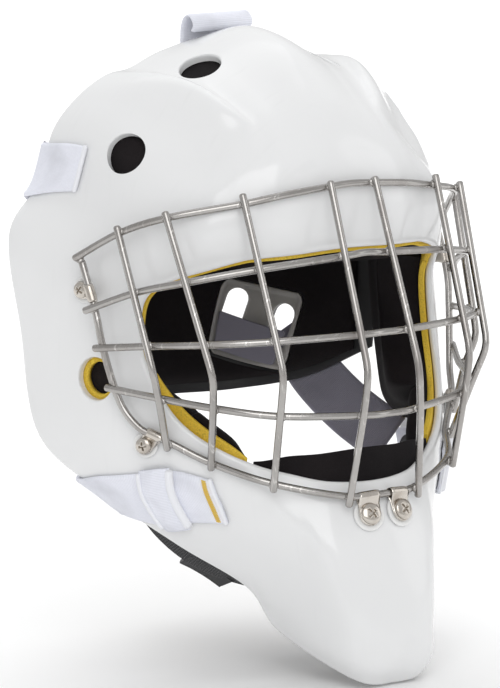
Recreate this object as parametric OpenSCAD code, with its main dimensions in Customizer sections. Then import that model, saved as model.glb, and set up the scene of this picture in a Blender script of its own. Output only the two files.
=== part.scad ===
// Goalie mask: a moulded shell with a welded wire cage, foam liner, sprung back plate and chin sling.
// Frame: +Z up as worn, the face looks along -Y, +X is the wearer's left.
// The origin is the centre of the wearer's head.

/* [Shell] */
// Thickness of the moulded shell
shell_t = 4; // [3:0.5:4.5]
// Diameter of the ear holes and the vents
vent_d = 22; // [18:1:24]
// Curve steps between two neighbouring stations round the opening
steps_round = 3; // [2:1:3]
// Curve steps between two neighbouring rows from opening to rim
steps_out = 2; // [2:1:3]

/* [Cage] */
// Diameter of the cage wire
wire_d = 3.8; // [3.4:0.1:4]
// Sides of the swept wires
wire_sides = 8; // [8:1:10]
// Width of the chin clips along the wire
clip_w = 12; // [9:0.5:13]
// Width of the side clips along the wire
side_clip_w = 9.5; // [8:0.5:10]
// Thickness of the clip metal
clip_t = 0.8; // [0.6:0.1:1]

/* [Fasteners] */
// Diameter of the clip screws
screw_d = 5; // [4:0.5:5]
// Diameter of the truss heads at the chin
screw_head_d = 11; // [9:0.5:12]
// Diameter of the truss heads at the sides
side_head_d = 8.5; // [7.5:0.5:9]
// Diameter of the plastic washers at the chin
washer_d = 17; // [15:0.5:18]
// Diameter of the plastic washers at the sides
side_washer_d = 13.5; // [11:0.5:14]
// Gap between a screw and the hole that it passes through
screw_gap = 0.2; // [0.1:0.05:0.3]

/* [Foam] */
// Gap between neighbouring layers
layer_gap = 0.3; // [0.2:0.1:0.5]
// Thickness of the outer foam layer
outer_foam_t = 3.2; // [2.5:0.1:3.5]
// Thickness of the forehead pad
forehead_t = 9; // [6:0.5:10]
// Thickness of the cheek pads
cheek_t = 23; // [10:0.5:23]
// Thickness of the crown, temple and chin pads
pad_t = 10; // [6:0.5:10]

/* [Straps] */
// Width of the crown strap
top_strap_w = 38; // [30:1:40]
// Width of the rear elastic straps
rear_strap_w = 30; // [24:1:32]
// Thickness of the elastic
strap_t = 1.8; // [1.2:0.1:2]

/* [Back plate] */
// Thickness of the back plate
plate_t = 3; // [2:0.5:3]
// Thickness of the foam on the back plate
plate_foam_t = 7; // [4:0.5:8]
// Width of the strap slots
slot_w = 12; // [8:0.5:12]

/* [Hidden] */

// The shell's outer skin, as stations round the face opening from the crown down the left side to
// the chin. Each station runs from the opening's edge out to the rim.
keel = [[0,-110,17], [0,-110,40], [0,-106,62], [0,-95,83], [0,-77,101], [0,-52,117.5], [0,-20,123.5], [0,8,116.5]];
scoop = [[30,-109,16], [30,-109,40], [30,-104,60], [28,-93,77], [28,-76,91], [30,-50,104.5], [32,-20,111], [34,9,110.5]];
step = [[46,-104,15], [46,-105,38], [44,-100,58], [38,-88,77], [40,-72,88], [46,-50,98], [52,-23,102.5], [57,6,103]];
crest = [[57,-100,14], [57,-101,36], [54,-95,56], [46,-82,78], [51,-68,90], [57,-47,100], [65,-24,103], [73,4,100.5]];
shoulder = [[72,-90,9], [74,-92,30], [70,-88,48], [65,-74,63], [67,-60,76], [74,-43,84.5], [82,-21,90.5], [89,6,90.5]];
temple = [[84,-78,4], [87,-76,22], [89,-69,37], [90,-58,51], [92,-46,61], [94,-32,68.5], [98.5,-14,73], [102.5,9,73.5]];
above_ear = [[91,-66,-3], [96,-60,9], [99,-51,19], [101,-40,27], [102,-28,33], [104,-14,38], [106,1,43], [108,16,45]];
ear_ridge = [[93,-60,-14], [100,-52,-8], [105,-42,-2], [109,-30,4], [113,-17,9], [117,-4,14], [122,8,17], [125,17,19]];
ear_side = [[93,-62,-36], [101,-54,-36], [107,-43,-35], [111,-31,-34], [115,-18,-33], [118,-7,-32], [120,3,-31], [122,11,-30]];
rear_corner = [[88,-74,-60], [96,-65,-66], [103,-54,-71], [108,-42,-76], [111,-30,-80], [114,-18,-82], [116,-8,-84], [117,2,-85]];
jaw_rear = [[80,-86,-74], [87,-79,-84], [92,-71,-92], [96,-62,-99], [98,-53,-105], [99,-45,-109], [99,-38,-112], [98,-33,-114]];
jaw = [[68,-100,-84], [73,-95,-94], [77,-90,-104], [79,-84,-113], [80,-79,-121], [80,-74,-128], [79,-71,-133], [77,-70,-137]];
jaw_front = [[55,-111,-90], [57,-113,-102], [55,-114,-114], [58,-108,-126], [58,-103,-136], [57,-99,-145], [55,-96,-152], [51,-95,-158]];
chin_low = [[42,-121,-94], [44,-124,-108], [43,-128,-122], [42,-126,-138], [43,-118,-152], [43,-111,-164], [41,-106,-173], [38,-104,-181]];
chin_side = [[24,-130,-98], [28,-136,-112], [30,-142,-128], [29,-146,-144], [28,-149,-160], [27,-150,-176], [26,-151,-190], [22,-147,-200]];
chin = [[0,-135,-99], [0,-142,-112], [0,-148,-129], [0,-152,-147], [0,-155,-165], [0,-157,-181], [0,-157,-194], [0,-151,-204]];
left_half = [keel, scoop, step, crest, shoulder, temple, above_ear, ear_ridge, ear_side, rear_corner,
    jaw_rear, jaw, jaw_front, chin_low, chin_side, chin];
last = len(left_half) - 1;
stations = [for (i = [0:2 * last - 1]) i <= last ? left_half[i] : mirrored(left_half[2 * last - i])];
rows = len(keel) - 1;

// Cage wires: places that each wire's centre line passes, for the wearer's left half.
bar_1 = [[0,-112.4,51], [14,-112.4,50.3], [38,-109.8,48], [60,-102,44], [91,-80,37], [105.5,-59,28], [117,-35,13]];
bar_2 = [[0,-125.5,17], [14.5,-124.8,16], [58,-114,12], [89,-94,5.5], [103,-70,-1.5], [117,-44,-13]];
bar_3 = [[0,-141,-22], [15.5,-140.6,-22], [58,-128,-23], [85,-107,-25], [100,-80,-28], [114.5,-49,-32]];
bar_4 = [[0,-147,-63], [17,-146.3,-62.5], [57,-130.5,-61], [80.5,-107,-58], [95,-80.5,-55.5], [111,-54.5,-52]];
rim_wire = [[0,-142.4,-105.6], [22,-140,-104.8], [56,-122,-97], [75,-96,-88.5], [88,-82,-80], [94,-75,-76],
    [99.8,-68.4,-72.3], [104.5,-60.5,-63], [108,-55.5,-49], [111,-51,-31], [112.5,-47,-14], [113.5,-36,11]];
upright_1 = [[14,-115.2,53], [16,-151.5,-40], [18,-150,-62], [22,-143,-109]];
upright_2 = [[61,-104.5,49], [59,-138,-39], [58.5,-134,-61], [57,-126,-100]];
upright_3 = [[93.5,-82.5,40], [87,-116,-41], [83,-110,-58], [76.5,-98.5,-91]];
upright_4 = [[107.5,-59.5,31], [103,-86,-42], [98,-83,-55.5], [91.5,-81,-82]];

// Clips: [screw place in skin coordinates, place along the rim wire, width, head and washer diameters]
chin_clip = [14.68, 1.22, 0.46, clip_w, screw_head_d, washer_d];
lower_clip = [9.56, 1.56, 5.1, side_clip_w, side_head_d, side_washer_d];
upper_clip = [7.22, 2.76, 10.39, side_clip_w, side_head_d, side_washer_d];

// Places of the holes on the skin: [round the opening, out from its edge]
ear_hole = [8.38, 2.5];
temple_vent = [4.91, 4.38];
crown_vent = [1.3, 5.6];

// Back plate net: columns from the middle to the left wing, each from top to bottom
plate_mid = [[0,38,74], [0,56,42], [0,66,5], [0,67,-35], [0,60,-85]];
plate_in = [[36,31,70], [39,48,39], [41,57,4], [41,57,-35], [39,50,-84.5]];
plate_out = [[64,10,54], [71,21,30], [74,28,1], [73,27,-33], [68,21.5,-76.5]];
plate_wing = [[84,-16,32], [91,-11,16], [95,-8,-6], [95,-8,-30], [92,-8,-58]];
plate_half = [plate_mid, plate_in, plate_out, plate_wing];
plate_net = [for (i = [-3:3]) i < 0 ? mirrored(plate_half[-i]) : plate_half[i]];
// Strap slots in the back plate: [column, row] of each slot's centre on the left side
plate_slots = [[4.07, 3.18], [4.68, 3.39]];
slot_l = 28;
slot_tilt = 19;
anchor_t = 3;
anchor_gap = 0.6;
// Corners of the strap anchor and of the elastic on it, as plate places from the top near the middle
anchor_quad = [[3.97, 2.72], [4.98, 2.98], [4.66, 3.88], [3.67, 3.58]];
elastic_quad = [[3.87, 3.14], [4.78, 3.44], [4.62, 3.8], [3.75, 3.55]];

// Strap routes: places along the middle of each strap
top_route = [[0,13,104], [0,13,113], [0,12.6,120.5], [0,10,126], [0,5.5,127.5], [0,2,125], [0,1.2,122.2], [0,3,119.7]];
crown_route = [[0,16.5,102], [0,24,95], [0,34,86.5], [0,41.5,76.5], [0,47.5,66], [0,54,53]];
rear_route = [[67.5,36.8,-50.5], [69.6,33,-56.5], [73.4,20.8,-73.5], [80,-2,-91], [88.5,-28.5,-105.5]];
sling_route = [[85.5,-50,-112], [82.5,-50.5,-119], [77,-54.5,-129], [68,-60.5,-139.5], [57,-66.5,-148],
    [44,-71.5,-154.5], [30,-76,-159.5], [20,-79.5,-162.5], [0,-84,-167.6]];
upper_rear_route = [[99,20,51], [94,24.5,49], [87,27,46], [77,27.5,41], [68,28,35]];
tail_route = [[-64,-57,-146.5], [-57,-59,-150.5], [-49,-61,-156], [-42,-62.5,-161.5]];
// Bands on the skin: their top and bottom edges as skin places, from the rim forwards
upper_band = [[[5.28, 6.95], [5.22, 6.3], [5.17, 5.58]], [[6.3, 6.95], [6.06, 6], [5.82, 5.12]]];
lower_band = [[[9.64, 6.95], [9.7, 4.4], [9.96, 2.73], [10.35, 1.62], [11.08, 1.3]],
    [[10.29, 6.95], [10.5, 6], [10.8, 4.9], [11.15, 3.72], [11.61, 2.89]]];
// Stud that carries the chin sling: its axis runs along X through this place
stud_axis = [0, -50, -107];
stud_d = 4;
stud_from = 82.5;
stud_to = 97.5;
hanger_d = 16;
tail_w = 12;
hanger_t = 2;
hanger_x = 84.5;

$fn = 48;

// ---- Helpers: vectors, curves and surfaces ----
function mirrored(list) = [for (p = list) [-p.x, p.y, p.z]];
function unit(v) = v / norm(v);
function blend4(a, b, c, d, t) =
    0.5 * (2 * b + (c - a) * t + (2 * a - 5 * b + 4 * c - d) * t * t + (3 * b - a - 3 * c + d) * t * t * t);

// Point at t on the smooth open curve through the places in list, t from 0 to the last index
function along(list, t) =
    let (n = len(list) - 1, i = max(0, min(floor(t), n - 1)),
        before = i > 0 ? list[i - 1] : 2 * list[0] - list[1],
        after = i + 2 <= n ? list[i + 2] : 2 * list[n] - list[n - 1])
    blend4(before, list[i], list[i + 1], after, t - i);

function wrap(i) = (i % len(stations) + len(stations)) % len(stations);

// Point on the shell's outer skin: u stations round the opening, v rows out from its edge
function skin(u, v) =
    let (i = floor(u))
    blend4(along(stations[wrap(i - 1)], v), along(stations[wrap(i)], v),
        along(stations[wrap(i + 1)], v), along(stations[wrap(i + 2)], v), u - i);

function skin_normal(u, v) =
    let (h = 0.15, at = max(0, v), low = max(0, at - h), high = min(rows, at + h))
    unit(cross(skin(u + h, at) - skin(u - h, at), skin(u, high) - skin(u, low)));

function below_skin(u, v, depth) = skin(u, v) - depth * skin_normal(u, v);

// Point on the back plate's outer face: u columns across, v rows down
function plate_face(u, v) = along([for (column = plate_net) along(column, v)], u);

function plate_normal(u, v) =
    let (h = 0.1, n = len(plate_net) - 1, m = len(plate_mid) - 1)
    unit(cross(plate_face(min(n, u + h), v) - plate_face(max(0, u - h), v),
        plate_face(u, min(m, v + h)) - plate_face(u, max(0, v - h))));

function plate_in_from(u, v, depth) = plate_face(u, v) - depth * plate_normal(u, v);

// Evenly spaced numbers from a to b in n steps
function spread(a, b, n) = [for (i = [0:n]) a + (b - a) * i / n];

// Closed solid between two grids of points of the same size; ring joins the last column to the first
module between(outer, inner, ring = false) {
    columns = len(outer);
    count = len(outer[0]);
    top = columns * count;
    points = concat([for (column = outer) each column], [for (column = inner) each column]);
    spans = ring ? columns : columns - 1;
    skins = [for (i = [0:spans - 1], j = [0:count - 2])
        let (a = i * count + j, b = ((i + 1) % columns) * count + j)
        each [[a, a + 1, b + 1], [a, b + 1, b], [top + a, top + b + 1, top + a + 1], [top + a, top + b, top + b + 1]]];
    edges = [for (i = [0:spans - 1])
        let (a = i * count, b = ((i + 1) % columns) * count, c = a + count - 1, d = b + count - 1)
        each [[a, b, top + b], [a, top + b, top + a], [c, top + d, d], [c, top + c, top + d]]];
    ends = ring ? [] : [for (j = [0:count - 2])
        let (a = j, b = (columns - 1) * count + j)
        each [[a, top + a, top + a + 1], [a, top + a + 1, a + 1], [b, top + b + 1, top + b], [b, b + 1, top + b + 1]]];
    polyhedron(points, concat(skins, edges, ends), convexity = 12);
}

// Layer of the liner: a patch that follows the skin between two depths. Its edge at the opening
// swells by bulge rows at u = bulge_at and comes back over reach stations.
module layer(u_from, u_to, v_from, v_to, depth, thickness, u_steps, v_steps, bulge = 0, bulge_at = 0, reach = 1) {
    us = spread(u_from, u_to, u_steps);
    function edge(u) = v_from - bulge * max(0, 1 - pow((u - bulge_at) / reach, 2));
    function grid(d) = [for (u = us) [for (v = spread(edge(u), v_to, v_steps)) below_skin(u, v, d)]];
    between(grid(depth), grid(depth + thickness));
}

// Swept solid along a smooth curve through route; side is the direction that its width takes
module sweep(route, half_w, half_h, rings, sides, side, flat = false) {
    n = len(route) - 1;
    places = [for (i = [0:rings]) along(route, n * i / rings)];
    sections = [for (i = [0:rings])
        let (t = unit(places[min(rings, i + 1)] - places[max(0, i - 1)]), lift = unit(cross(side, t)), across = cross(t, lift))
        flat
            ? [for (c = [[1, 1], [-1, 1], [-1, -1], [1, -1]]) places[i] + c.x * half_w * across + c.y * half_h * lift]
            : [for (k = [0:sides - 1])
                places[i] + half_w * cos(360 * k / sides) * across + half_h * sin(360 * k / sides) * lift]];
    count = flat ? 4 : sides;
    faces = [for (i = [0:rings - 1], k = [0:count - 1])
        let (a = i * count + k, b = i * count + (k + 1) % count)
        each [[a, b, b + count], [a, b + count, a + count]]];
    start = [for (k = [count - 1:-1:0]) k];
    end = [for (k = [0:count - 1]) rings * count + k];
    polyhedron([for (s = sections) each s], concat(faces, [start, end]), convexity = 10);
}

// Stands children on place with their +Z along direction
module aim(place, direction) {
    translate(place) rotate([0, acos(direction.z / norm(direction)), atan2(direction.y, direction.x)]) children();
}

module both_sides() {
    children();
    mirror([1, 0, 0]) children();
}

// Stands children on the sling's axis at x = from, with their +Z along X
module along_x(from) {
    translate([from, stud_axis.y, stud_axis.z]) rotate([0, 90, 0]) children();
}

module on_skin(where, depth = 0) {
    aim(below_skin(where[0], where[1], depth), skin_normal(where[0], where[1])) children();
}

// ---- Shell ----
module shell() {
    us = spread(0, 2 * last, 2 * last * steps_round);
    vs = spread(0, rows, rows * steps_out);
    ring = [for (i = [0:len(us) - 2]) us[i]];
    color("whitesmoke")
    difference() {
        between([for (u = ring) [for (v = vs) skin(u, v)]],
            [for (u = ring) [for (v = vs) below_skin(u, v, shell_t)]], ring = true);
        both_sides() {
            for (where = [ear_hole, temple_vent, crown_vent]) on_skin(where) cylinder(d = vent_d, h = 24, center = true);
            for (clip = clips)
                on_skin(clip) cylinder(d = screw_d + 2 * screw_gap, h = 20, center = true);
            along_x(80) cylinder(d = stud_d + 2 * screw_gap, h = 30);
        }
    }
}

// ---- Cage ----
module wire(route, rings, side) {
    sweep(route, wire_d / 2, wire_d / 2, rings, wire_sides, side);
}

// A left half route carried on to its mirror image
function whole(half) = concat([for (i = [len(half) - 1:-1:1]) [-half[i].x, half[i].y, half[i].z]], half);

module cage_perimeter_wire() {
    color("silver") wire(whole(rim_wire), 72, [0, 1, 0]);
}

module cage_horizontal_bars() {
    color("silver") for (bar = [bar_1, bar_2, bar_3, bar_4]) wire(whole(bar), 30, [0, 0, 1]);
}

module cage_vertical_bars() {
    color("silver")
    both_sides() for (bar = [upright_1, upright_2, upright_3, upright_4]) wire(bar, len(bar) - 1, [1, 0, 0]);
}

// ---- Clips and their fasteners ----
washer_base = 0.5;
washer_t = 1.6;
clip_base = washer_base + washer_t;
nut_t = 2.8;
nut_gap = 0.4;
sleeve_bore_r = wire_d / 2 + 0.5;
sleeve_r = sleeve_bore_r + clip_t;
nut_d = 9;
screw_end = shell_t + nut_gap + nut_t + 0.3;

function wire_way(clip) = unit(along(rim_wire, clip[2] + 0.05) - along(rim_wire, clip[2] - 0.05));

// Directions of a clip: out of the shell, and along the tab towards the wire
function clip_out(clip) = skin_normal(clip[0], clip[1]);
function clip_ahead(clip) =
    let (across = unit(cross(wire_way(clip), clip_out(clip))), way = along(rim_wire, clip[2]) - skin(clip[0], clip[1]))
    sign(way * across) * across;

// Frame of a clip: children see +Z out of the shell and +X along the tab
module at_clip(clip) {
    n = clip_out(clip);
    x = clip_ahead(clip);
    x_axis = [n.z * cos(atan2(n.y, n.x)), n.z * sin(atan2(n.y, n.x)), -norm([n.x, n.y])];
    y_axis = [-sin(atan2(n.y, n.x)), cos(atan2(n.y, n.x)), 0];
    aim(skin(clip[0], clip[1]), n) rotate([0, 0, atan2(x * y_axis, x * x_axis)]) children();
}

module sleeve(clip, radius, length) {
    aim(along(rim_wire, clip[2]), wire_way(clip)) cylinder(r = radius, h = length, center = true);
}

module clip_body(clip) {
    way = along(rim_wire, clip[2]) - skin(clip[0], clip[1]);
    reach = way * clip_ahead(clip);
    rise = way * clip_out(clip);
    low = min(clip_base, rise);
    difference() {
        union() {
            at_clip(clip) {
                translate([0, 0, clip_base]) cylinder(d = clip[3], h = clip_t);
                translate([0, -clip[3] / 2, clip_base]) cube([reach - sleeve_r + clip_t, clip[3], clip_t]);
                translate([reach - sleeve_r, -clip[3] / 2, low]) cube([clip_t, clip[3], abs(rise - clip_base) + clip_t]);
            }
            sleeve(clip, sleeve_r, clip[3]);
        }
        at_clip(clip) cylinder(d = screw_d + 2 * screw_gap, h = 30, center = true);
        sleeve(clip, sleeve_bore_r, clip[3] + 4);
    }
}

module clip_pair(clip) {
    color("lightgray") both_sides() clip_body(clip);
}

module chin_clips() { clip_pair(chin_clip); }
module lower_side_clips() { clip_pair(lower_clip); }
module upper_side_clips() { clip_pair(upper_clip); }

clips = [chin_clip, lower_clip, upper_clip];

module clip_washers() {
    color("white")
    both_sides() for (clip = clips) difference() {
        at_clip(clip) translate([0, 0, washer_base]) cylinder(d = clip[5], h = washer_t - 0.05);
        at_clip(clip) cylinder(d = screw_d + 2 * screw_gap, h = 12, center = true);
        sleeve(clip, sleeve_r + 0.2, clip[5] + 2);
    }
}

module clip_screws() {
    rim_h = 0.8;
    dome_h = 1.6;
    color("silver")
    both_sides() for (clip = clips) at_clip(clip) {
        translate([0, 0, -screw_end]) cylinder(d = screw_d, h = screw_end + clip_base + clip_t + 0.1);
        translate([0, 0, clip_base + clip_t + 0.05]) difference() {
            union() {
                cylinder(d = clip[4], h = rim_h);
                translate([0, 0, rim_h]) cylinder(d1 = clip[4], d2 = clip[4] * 0.55, h = dome_h);
            }
            for (a = [0, 90]) rotate([0, 0, a]) translate([-2, -0.6, rim_h]) cube([4, 1.2, dome_h + 1]);
        }
    }
}

module clip_nuts() {
    color("gray")
    both_sides() for (clip = clips) at_clip(clip) translate([0, 0, -shell_t - nut_gap - nut_t]) difference() {
        cylinder(d = nut_d, h = nut_t);
        translate([0, 0, -1]) cylinder(d = screw_d + 0.1, h = nut_t + 2);
    }
}

// ---- Foam liner ----
outer_depth = shell_t + layer_gap;
inner_depth = outer_depth + outer_foam_t + layer_gap;

// Room in the foam round the nuts
module nut_pockets() {
    both_sides() for (clip = clips)
        on_skin(clip) translate([0, 0, -screw_end - 0.8]) cylinder(d = nut_d + 1.5, h = screw_end + 6);
}

module brow_liner() {
    color("goldenrod") layer(-6, 6, -0.1, 2.4, outer_depth, outer_foam_t, 24, 5);
}

module cheek_liner() {
    color("goldenrod") difference() {
        layer(6.08, 11.6, -0.08, 3.9, outer_depth, outer_foam_t, 16, 8, bulge = 0.3, bulge_at = 9.9, reach = 1.9);
        nut_pockets();
        on_skin(ear_hole) cylinder(d = vent_d - 5, h = 24, center = true);
    }
}
module cheek_liner_left() { cheek_liner(); }
module cheek_liner_right() { mirror([1, 0, 0]) cheek_liner(); }

module forehead_pad() {
    color("dimgray") layer(-4.4, 4.4, -0.06, 2.3, inner_depth + layer_gap / 2, forehead_t, 18, 4, bulge = 0.3, reach = 4.4);
}

module sweatband() {
    color("black") layer(-3.6, 3.6, 0.5, 1.9, inner_depth + forehead_t + 2 * layer_gap, 3, 14, 3);
}

module crown_pad() {
    color("black") layer(-3.2, 3.2, 3.2, 6.6, outer_depth + layer_gap, pad_t, 20, 10);
}

module temple_pad() {
    color("black") layer(4.0, 5.6, 2.6, 6.6, outer_depth + layer_gap, pad_t, 6, 10);
}
module temple_pad_left() { temple_pad(); }
module temple_pad_right() { mirror([1, 0, 0]) temple_pad(); }

module cheek_pad() {
    color("black") layer(6.3, 9.5, 0.2, 3.85, inner_depth, cheek_t, 12, 7, bulge = 0.75, bulge_at = 9.9, reach = 1.5);
}
module cheek_pad_left() { cheek_pad(); }
module cheek_pad_right() { mirror([1, 0, 0]) cheek_pad(); }

module jaw_pad() {
    color("black") layer(9.6, 11.6, 0.1, 2.4, inner_depth, pad_t, 8, 5, bulge = 0.75, bulge_at = 9.9, reach = 1.9);
}
module jaw_pad_left() { jaw_pad(); }
module jaw_pad_right() { mirror([1, 0, 0]) jaw_pad(); }

module chin_pad() {
    color("black") difference() {
        layer(11.8, 18.2, -0.05, 2.2, outer_depth, pad_t, 16, 4, bulge = 0.95, bulge_at = 15, reach = 3.3);
        nut_pockets();
    }
}

// ---- Straps ----
// Strip that follows the skin between two edges of skin places, from t_from to t_to of its length,
// widened by margin and held at a height above the skin
module band(edges, t_from, t_to, margin, height, steps) {
    n = len(edges[0]) - 1;
    function edge_place(t, s) = (1 - s) * along(edges[0], n * t) + s * along(edges[1], n * t);
    ts = spread(t_from, t_to, steps);
    ss = spread(-margin, 1 + margin, 3);
    function grid(h) = [for (t = ts) [for (s = ss) let (p = edge_place(t, s)) below_skin(p[0], min(rows, p[1]), -h)]];
    between(grid(height), grid(height + strap_t));
}

module top_strap() {
    color("lavender") sweep(top_route, top_strap_w / 2, strap_t / 2, 28, 4, [1, 0, 0], flat = true);
}

module crown_elastic() {
    color("dimgray") sweep(crown_route, top_strap_w / 2, strap_t / 2, 12, 4, [1, 0, 0], flat = true);
}

module upper_strap() {
    color("lavender") band(upper_band, 0, 1, 0, 0.5, 6);
}
module upper_strap_left() { upper_strap(); }
module upper_strap_right() { mirror([1, 0, 0]) upper_strap(); }

module lower_strap() {
    color("lavender") band(lower_band, 0, 1, 0, 0.5, 16);
}
module lower_strap_left() { lower_strap(); }
module lower_strap_right() { mirror([1, 0, 0]) lower_strap(); }

module strap_keepers() {
    color("white") both_sides() band(lower_band, 0.5, 0.72, 0.08, 0.8 + strap_t, 5);
}

module rear_strap() {
    color("slategray") {
        sweep(rear_route, rear_strap_w / 2, strap_t / 2, 16, 4, [0.53, -0.8, 0.2], flat = true);
        plate_patch(elastic_quad, 0, plate_t + 2 * anchor_gap + anchor_t, strap_t, 6);
    }
}
module rear_strap_left() { rear_strap(); }
module rear_strap_right() { mirror([1, 0, 0]) rear_strap(); }

module upper_rear_strap() {
    color("slategray") sweep(upper_rear_route, rear_strap_w / 2, strap_t / 2, 12, 4, [0.2, -0.35, -0.9], flat = true);
}
module upper_rear_strap_left() { upper_rear_strap(); }
module upper_rear_strap_right() { mirror([1, 0, 0]) upper_rear_strap(); }

// ---- Chin sling ----
module chin_strap() {
    full_route = whole([for (i = [len(sling_route) - 1:-1:0]) sling_route[i]]);
    color("black") sweep(full_route, 9, strap_t / 2, 36, 4, [0, 0.87, -0.5], flat = true);
}

module chin_cup() {
    // shallow cup that rests on the strap, hollow towards the chin
    color("black")
    translate([0, -78, -158]) rotate([-28, 0, 0]) difference() {
        intersection() {
            translate([0, 0, 36]) sphere(r = 44);
            translate([0, 0, -4]) cube([60, 46, 16], center = true);
        }
        translate([0, 0, 36]) sphere(r = 40);
    }
}

module chin_studs() {
    color("gray") both_sides() {
        along_x(stud_from) cylinder(d = stud_d, h = stud_to - stud_from);
        along_x(stud_from) translate([0, 0, -1.5]) cylinder(d = 9, h = 1.5);
    }
}

module sling_hangers() {
    color("black") both_sides() along_x(hanger_x) difference() {
        cylinder(d = hanger_d, h = hanger_t);
        translate([0, 0, -1]) cylinder(d = stud_d + 0.14, h = hanger_t + 2);
    }
}

module chin_buckle() {
    color("black") sweep(tail_route, tail_w / 2, 1.2, 8, 4, [0, 0.87, -0.5], flat = true);
}

// ---- Back plate ----
module plate_layer(u_in, v_top, v_bottom, depth, thickness, u_steps, v_steps) {
    us = spread(3 - u_in, 3 + u_in, u_steps);
    vs = spread(v_top, v_bottom, v_steps);
    between([for (u = us) [for (v = vs) plate_in_from(u, v, depth)]],
        [for (u = us) [for (v = vs) plate_in_from(u, v, depth + thickness)]]);
}

// Round-ended slots through the plate on both sides
module plate_slots_cut() {
    both_sides() for (where = plate_slots)
        aim(plate_face(where[0], where[1]), plate_normal(where[0], where[1])) {
            rotate([0, 0, slot_tilt]) {
                for (x = [-1, 1]) translate([x * (slot_l - slot_w) / 2, 0, -20]) cylinder(d = slot_w, h = 40);
                cube([slot_l - slot_w, slot_w, 40], center = true);
            }
        }
}

// Patch of the plate's inner side between four corner places and two depths
module plate_patch(quad, margin, depth, thickness, steps) {
    shares = spread(-margin, 1 + margin, steps);
    function at(s, t) = (1 - s) * (1 - t) * quad[0] + s * (1 - t) * quad[1] + s * t * quad[2] + (1 - s) * t * quad[3];
    function grid(d) = [for (s = shares) [for (t = shares) let (p = at(s, t)) plate_in_from(p[0], p[1], d)]];
    between(grid(depth), grid(depth + thickness));
}

module backplate() {
    color("dimgray") difference() {
        plate_layer(3, 0, 4, 0, plate_t, 18, 10);
        plate_slots_cut();
    }
}

module backplate_pad() {
    color("black") difference() {
        plate_layer(2.75, 0.25, 3.9, plate_t + layer_gap, plate_foam_t, 16, 8);
        both_sides() plate_patch(anchor_quad, 0.04, plate_t - 1, plate_foam_t + 4, 8);
    }
}

module strap_anchors() {
    color("gray") difference() {
        both_sides() plate_patch(anchor_quad, 0, plate_t + anchor_gap, anchor_t, 10);
        plate_slots_cut();
    }
}

shell();
cage_perimeter_wire();
cage_horizontal_bars();
cage_vertical_bars();
chin_clips();
lower_side_clips();
upper_side_clips();
clip_washers();
clip_screws();
clip_nuts();
brow_liner();
cheek_liner_left();
cheek_liner_right();
forehead_pad();
sweatband();
crown_pad();
temple_pad_left();
temple_pad_right();
cheek_pad_left();
cheek_pad_right();
jaw_pad_left();
jaw_pad_right();
chin_pad();
top_strap();
upper_strap_left();
upper_strap_right();
lower_strap_left();
lower_strap_right();
strap_keepers();
backplate();
backplate_pad();
strap_anchors();
crown_elastic();
upper_rear_strap_left();
upper_rear_strap_right();
rear_strap_left();
rear_strap_right();
chin_strap();
chin_cup();
sling_hangers();
chin_studs();
chin_buckle();
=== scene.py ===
"""Goalie mask: the visible pieces of a moulded ice hockey goalie mask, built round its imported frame."""

import math

import bpy
import numpy as np
from bpy.props import FloatProperty, FloatVectorProperty, IntProperty, PointerProperty
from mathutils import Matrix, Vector


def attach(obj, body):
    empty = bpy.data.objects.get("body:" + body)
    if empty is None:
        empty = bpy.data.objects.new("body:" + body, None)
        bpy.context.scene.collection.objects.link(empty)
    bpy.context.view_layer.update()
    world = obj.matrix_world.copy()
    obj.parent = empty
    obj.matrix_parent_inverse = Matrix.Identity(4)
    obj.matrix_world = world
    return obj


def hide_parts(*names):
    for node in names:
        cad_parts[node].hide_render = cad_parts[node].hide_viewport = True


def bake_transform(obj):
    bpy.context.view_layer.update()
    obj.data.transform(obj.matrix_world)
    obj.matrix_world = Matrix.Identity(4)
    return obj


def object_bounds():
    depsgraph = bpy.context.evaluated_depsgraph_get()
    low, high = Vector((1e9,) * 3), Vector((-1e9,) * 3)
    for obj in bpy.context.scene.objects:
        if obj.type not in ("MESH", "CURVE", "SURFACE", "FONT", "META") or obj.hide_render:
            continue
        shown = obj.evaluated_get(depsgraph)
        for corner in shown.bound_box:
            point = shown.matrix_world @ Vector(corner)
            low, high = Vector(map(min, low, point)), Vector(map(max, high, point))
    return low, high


bl_info = {
    "name": "Goalie Mask Builder",
    "version": (1, 0, 0),
    "blender": (4, 5, 0),
    "location": "View3D > Sidebar > Goalie Mask",
    "description": "Builds the shell, cage, liner, straps and back plate of a goalie mask",
    "category": "Add Mesh",
}

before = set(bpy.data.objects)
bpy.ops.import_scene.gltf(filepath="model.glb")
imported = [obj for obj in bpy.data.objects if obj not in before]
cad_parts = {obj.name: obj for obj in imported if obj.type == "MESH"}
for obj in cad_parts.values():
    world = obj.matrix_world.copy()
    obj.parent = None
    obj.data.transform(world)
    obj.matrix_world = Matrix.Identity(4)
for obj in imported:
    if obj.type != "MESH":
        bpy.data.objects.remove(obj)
CAD_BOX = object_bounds()
SHELL = "shell_body"
PLATE = "backplate_body"
SLING = "chin_sling_body"
MM = 0.001

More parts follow.
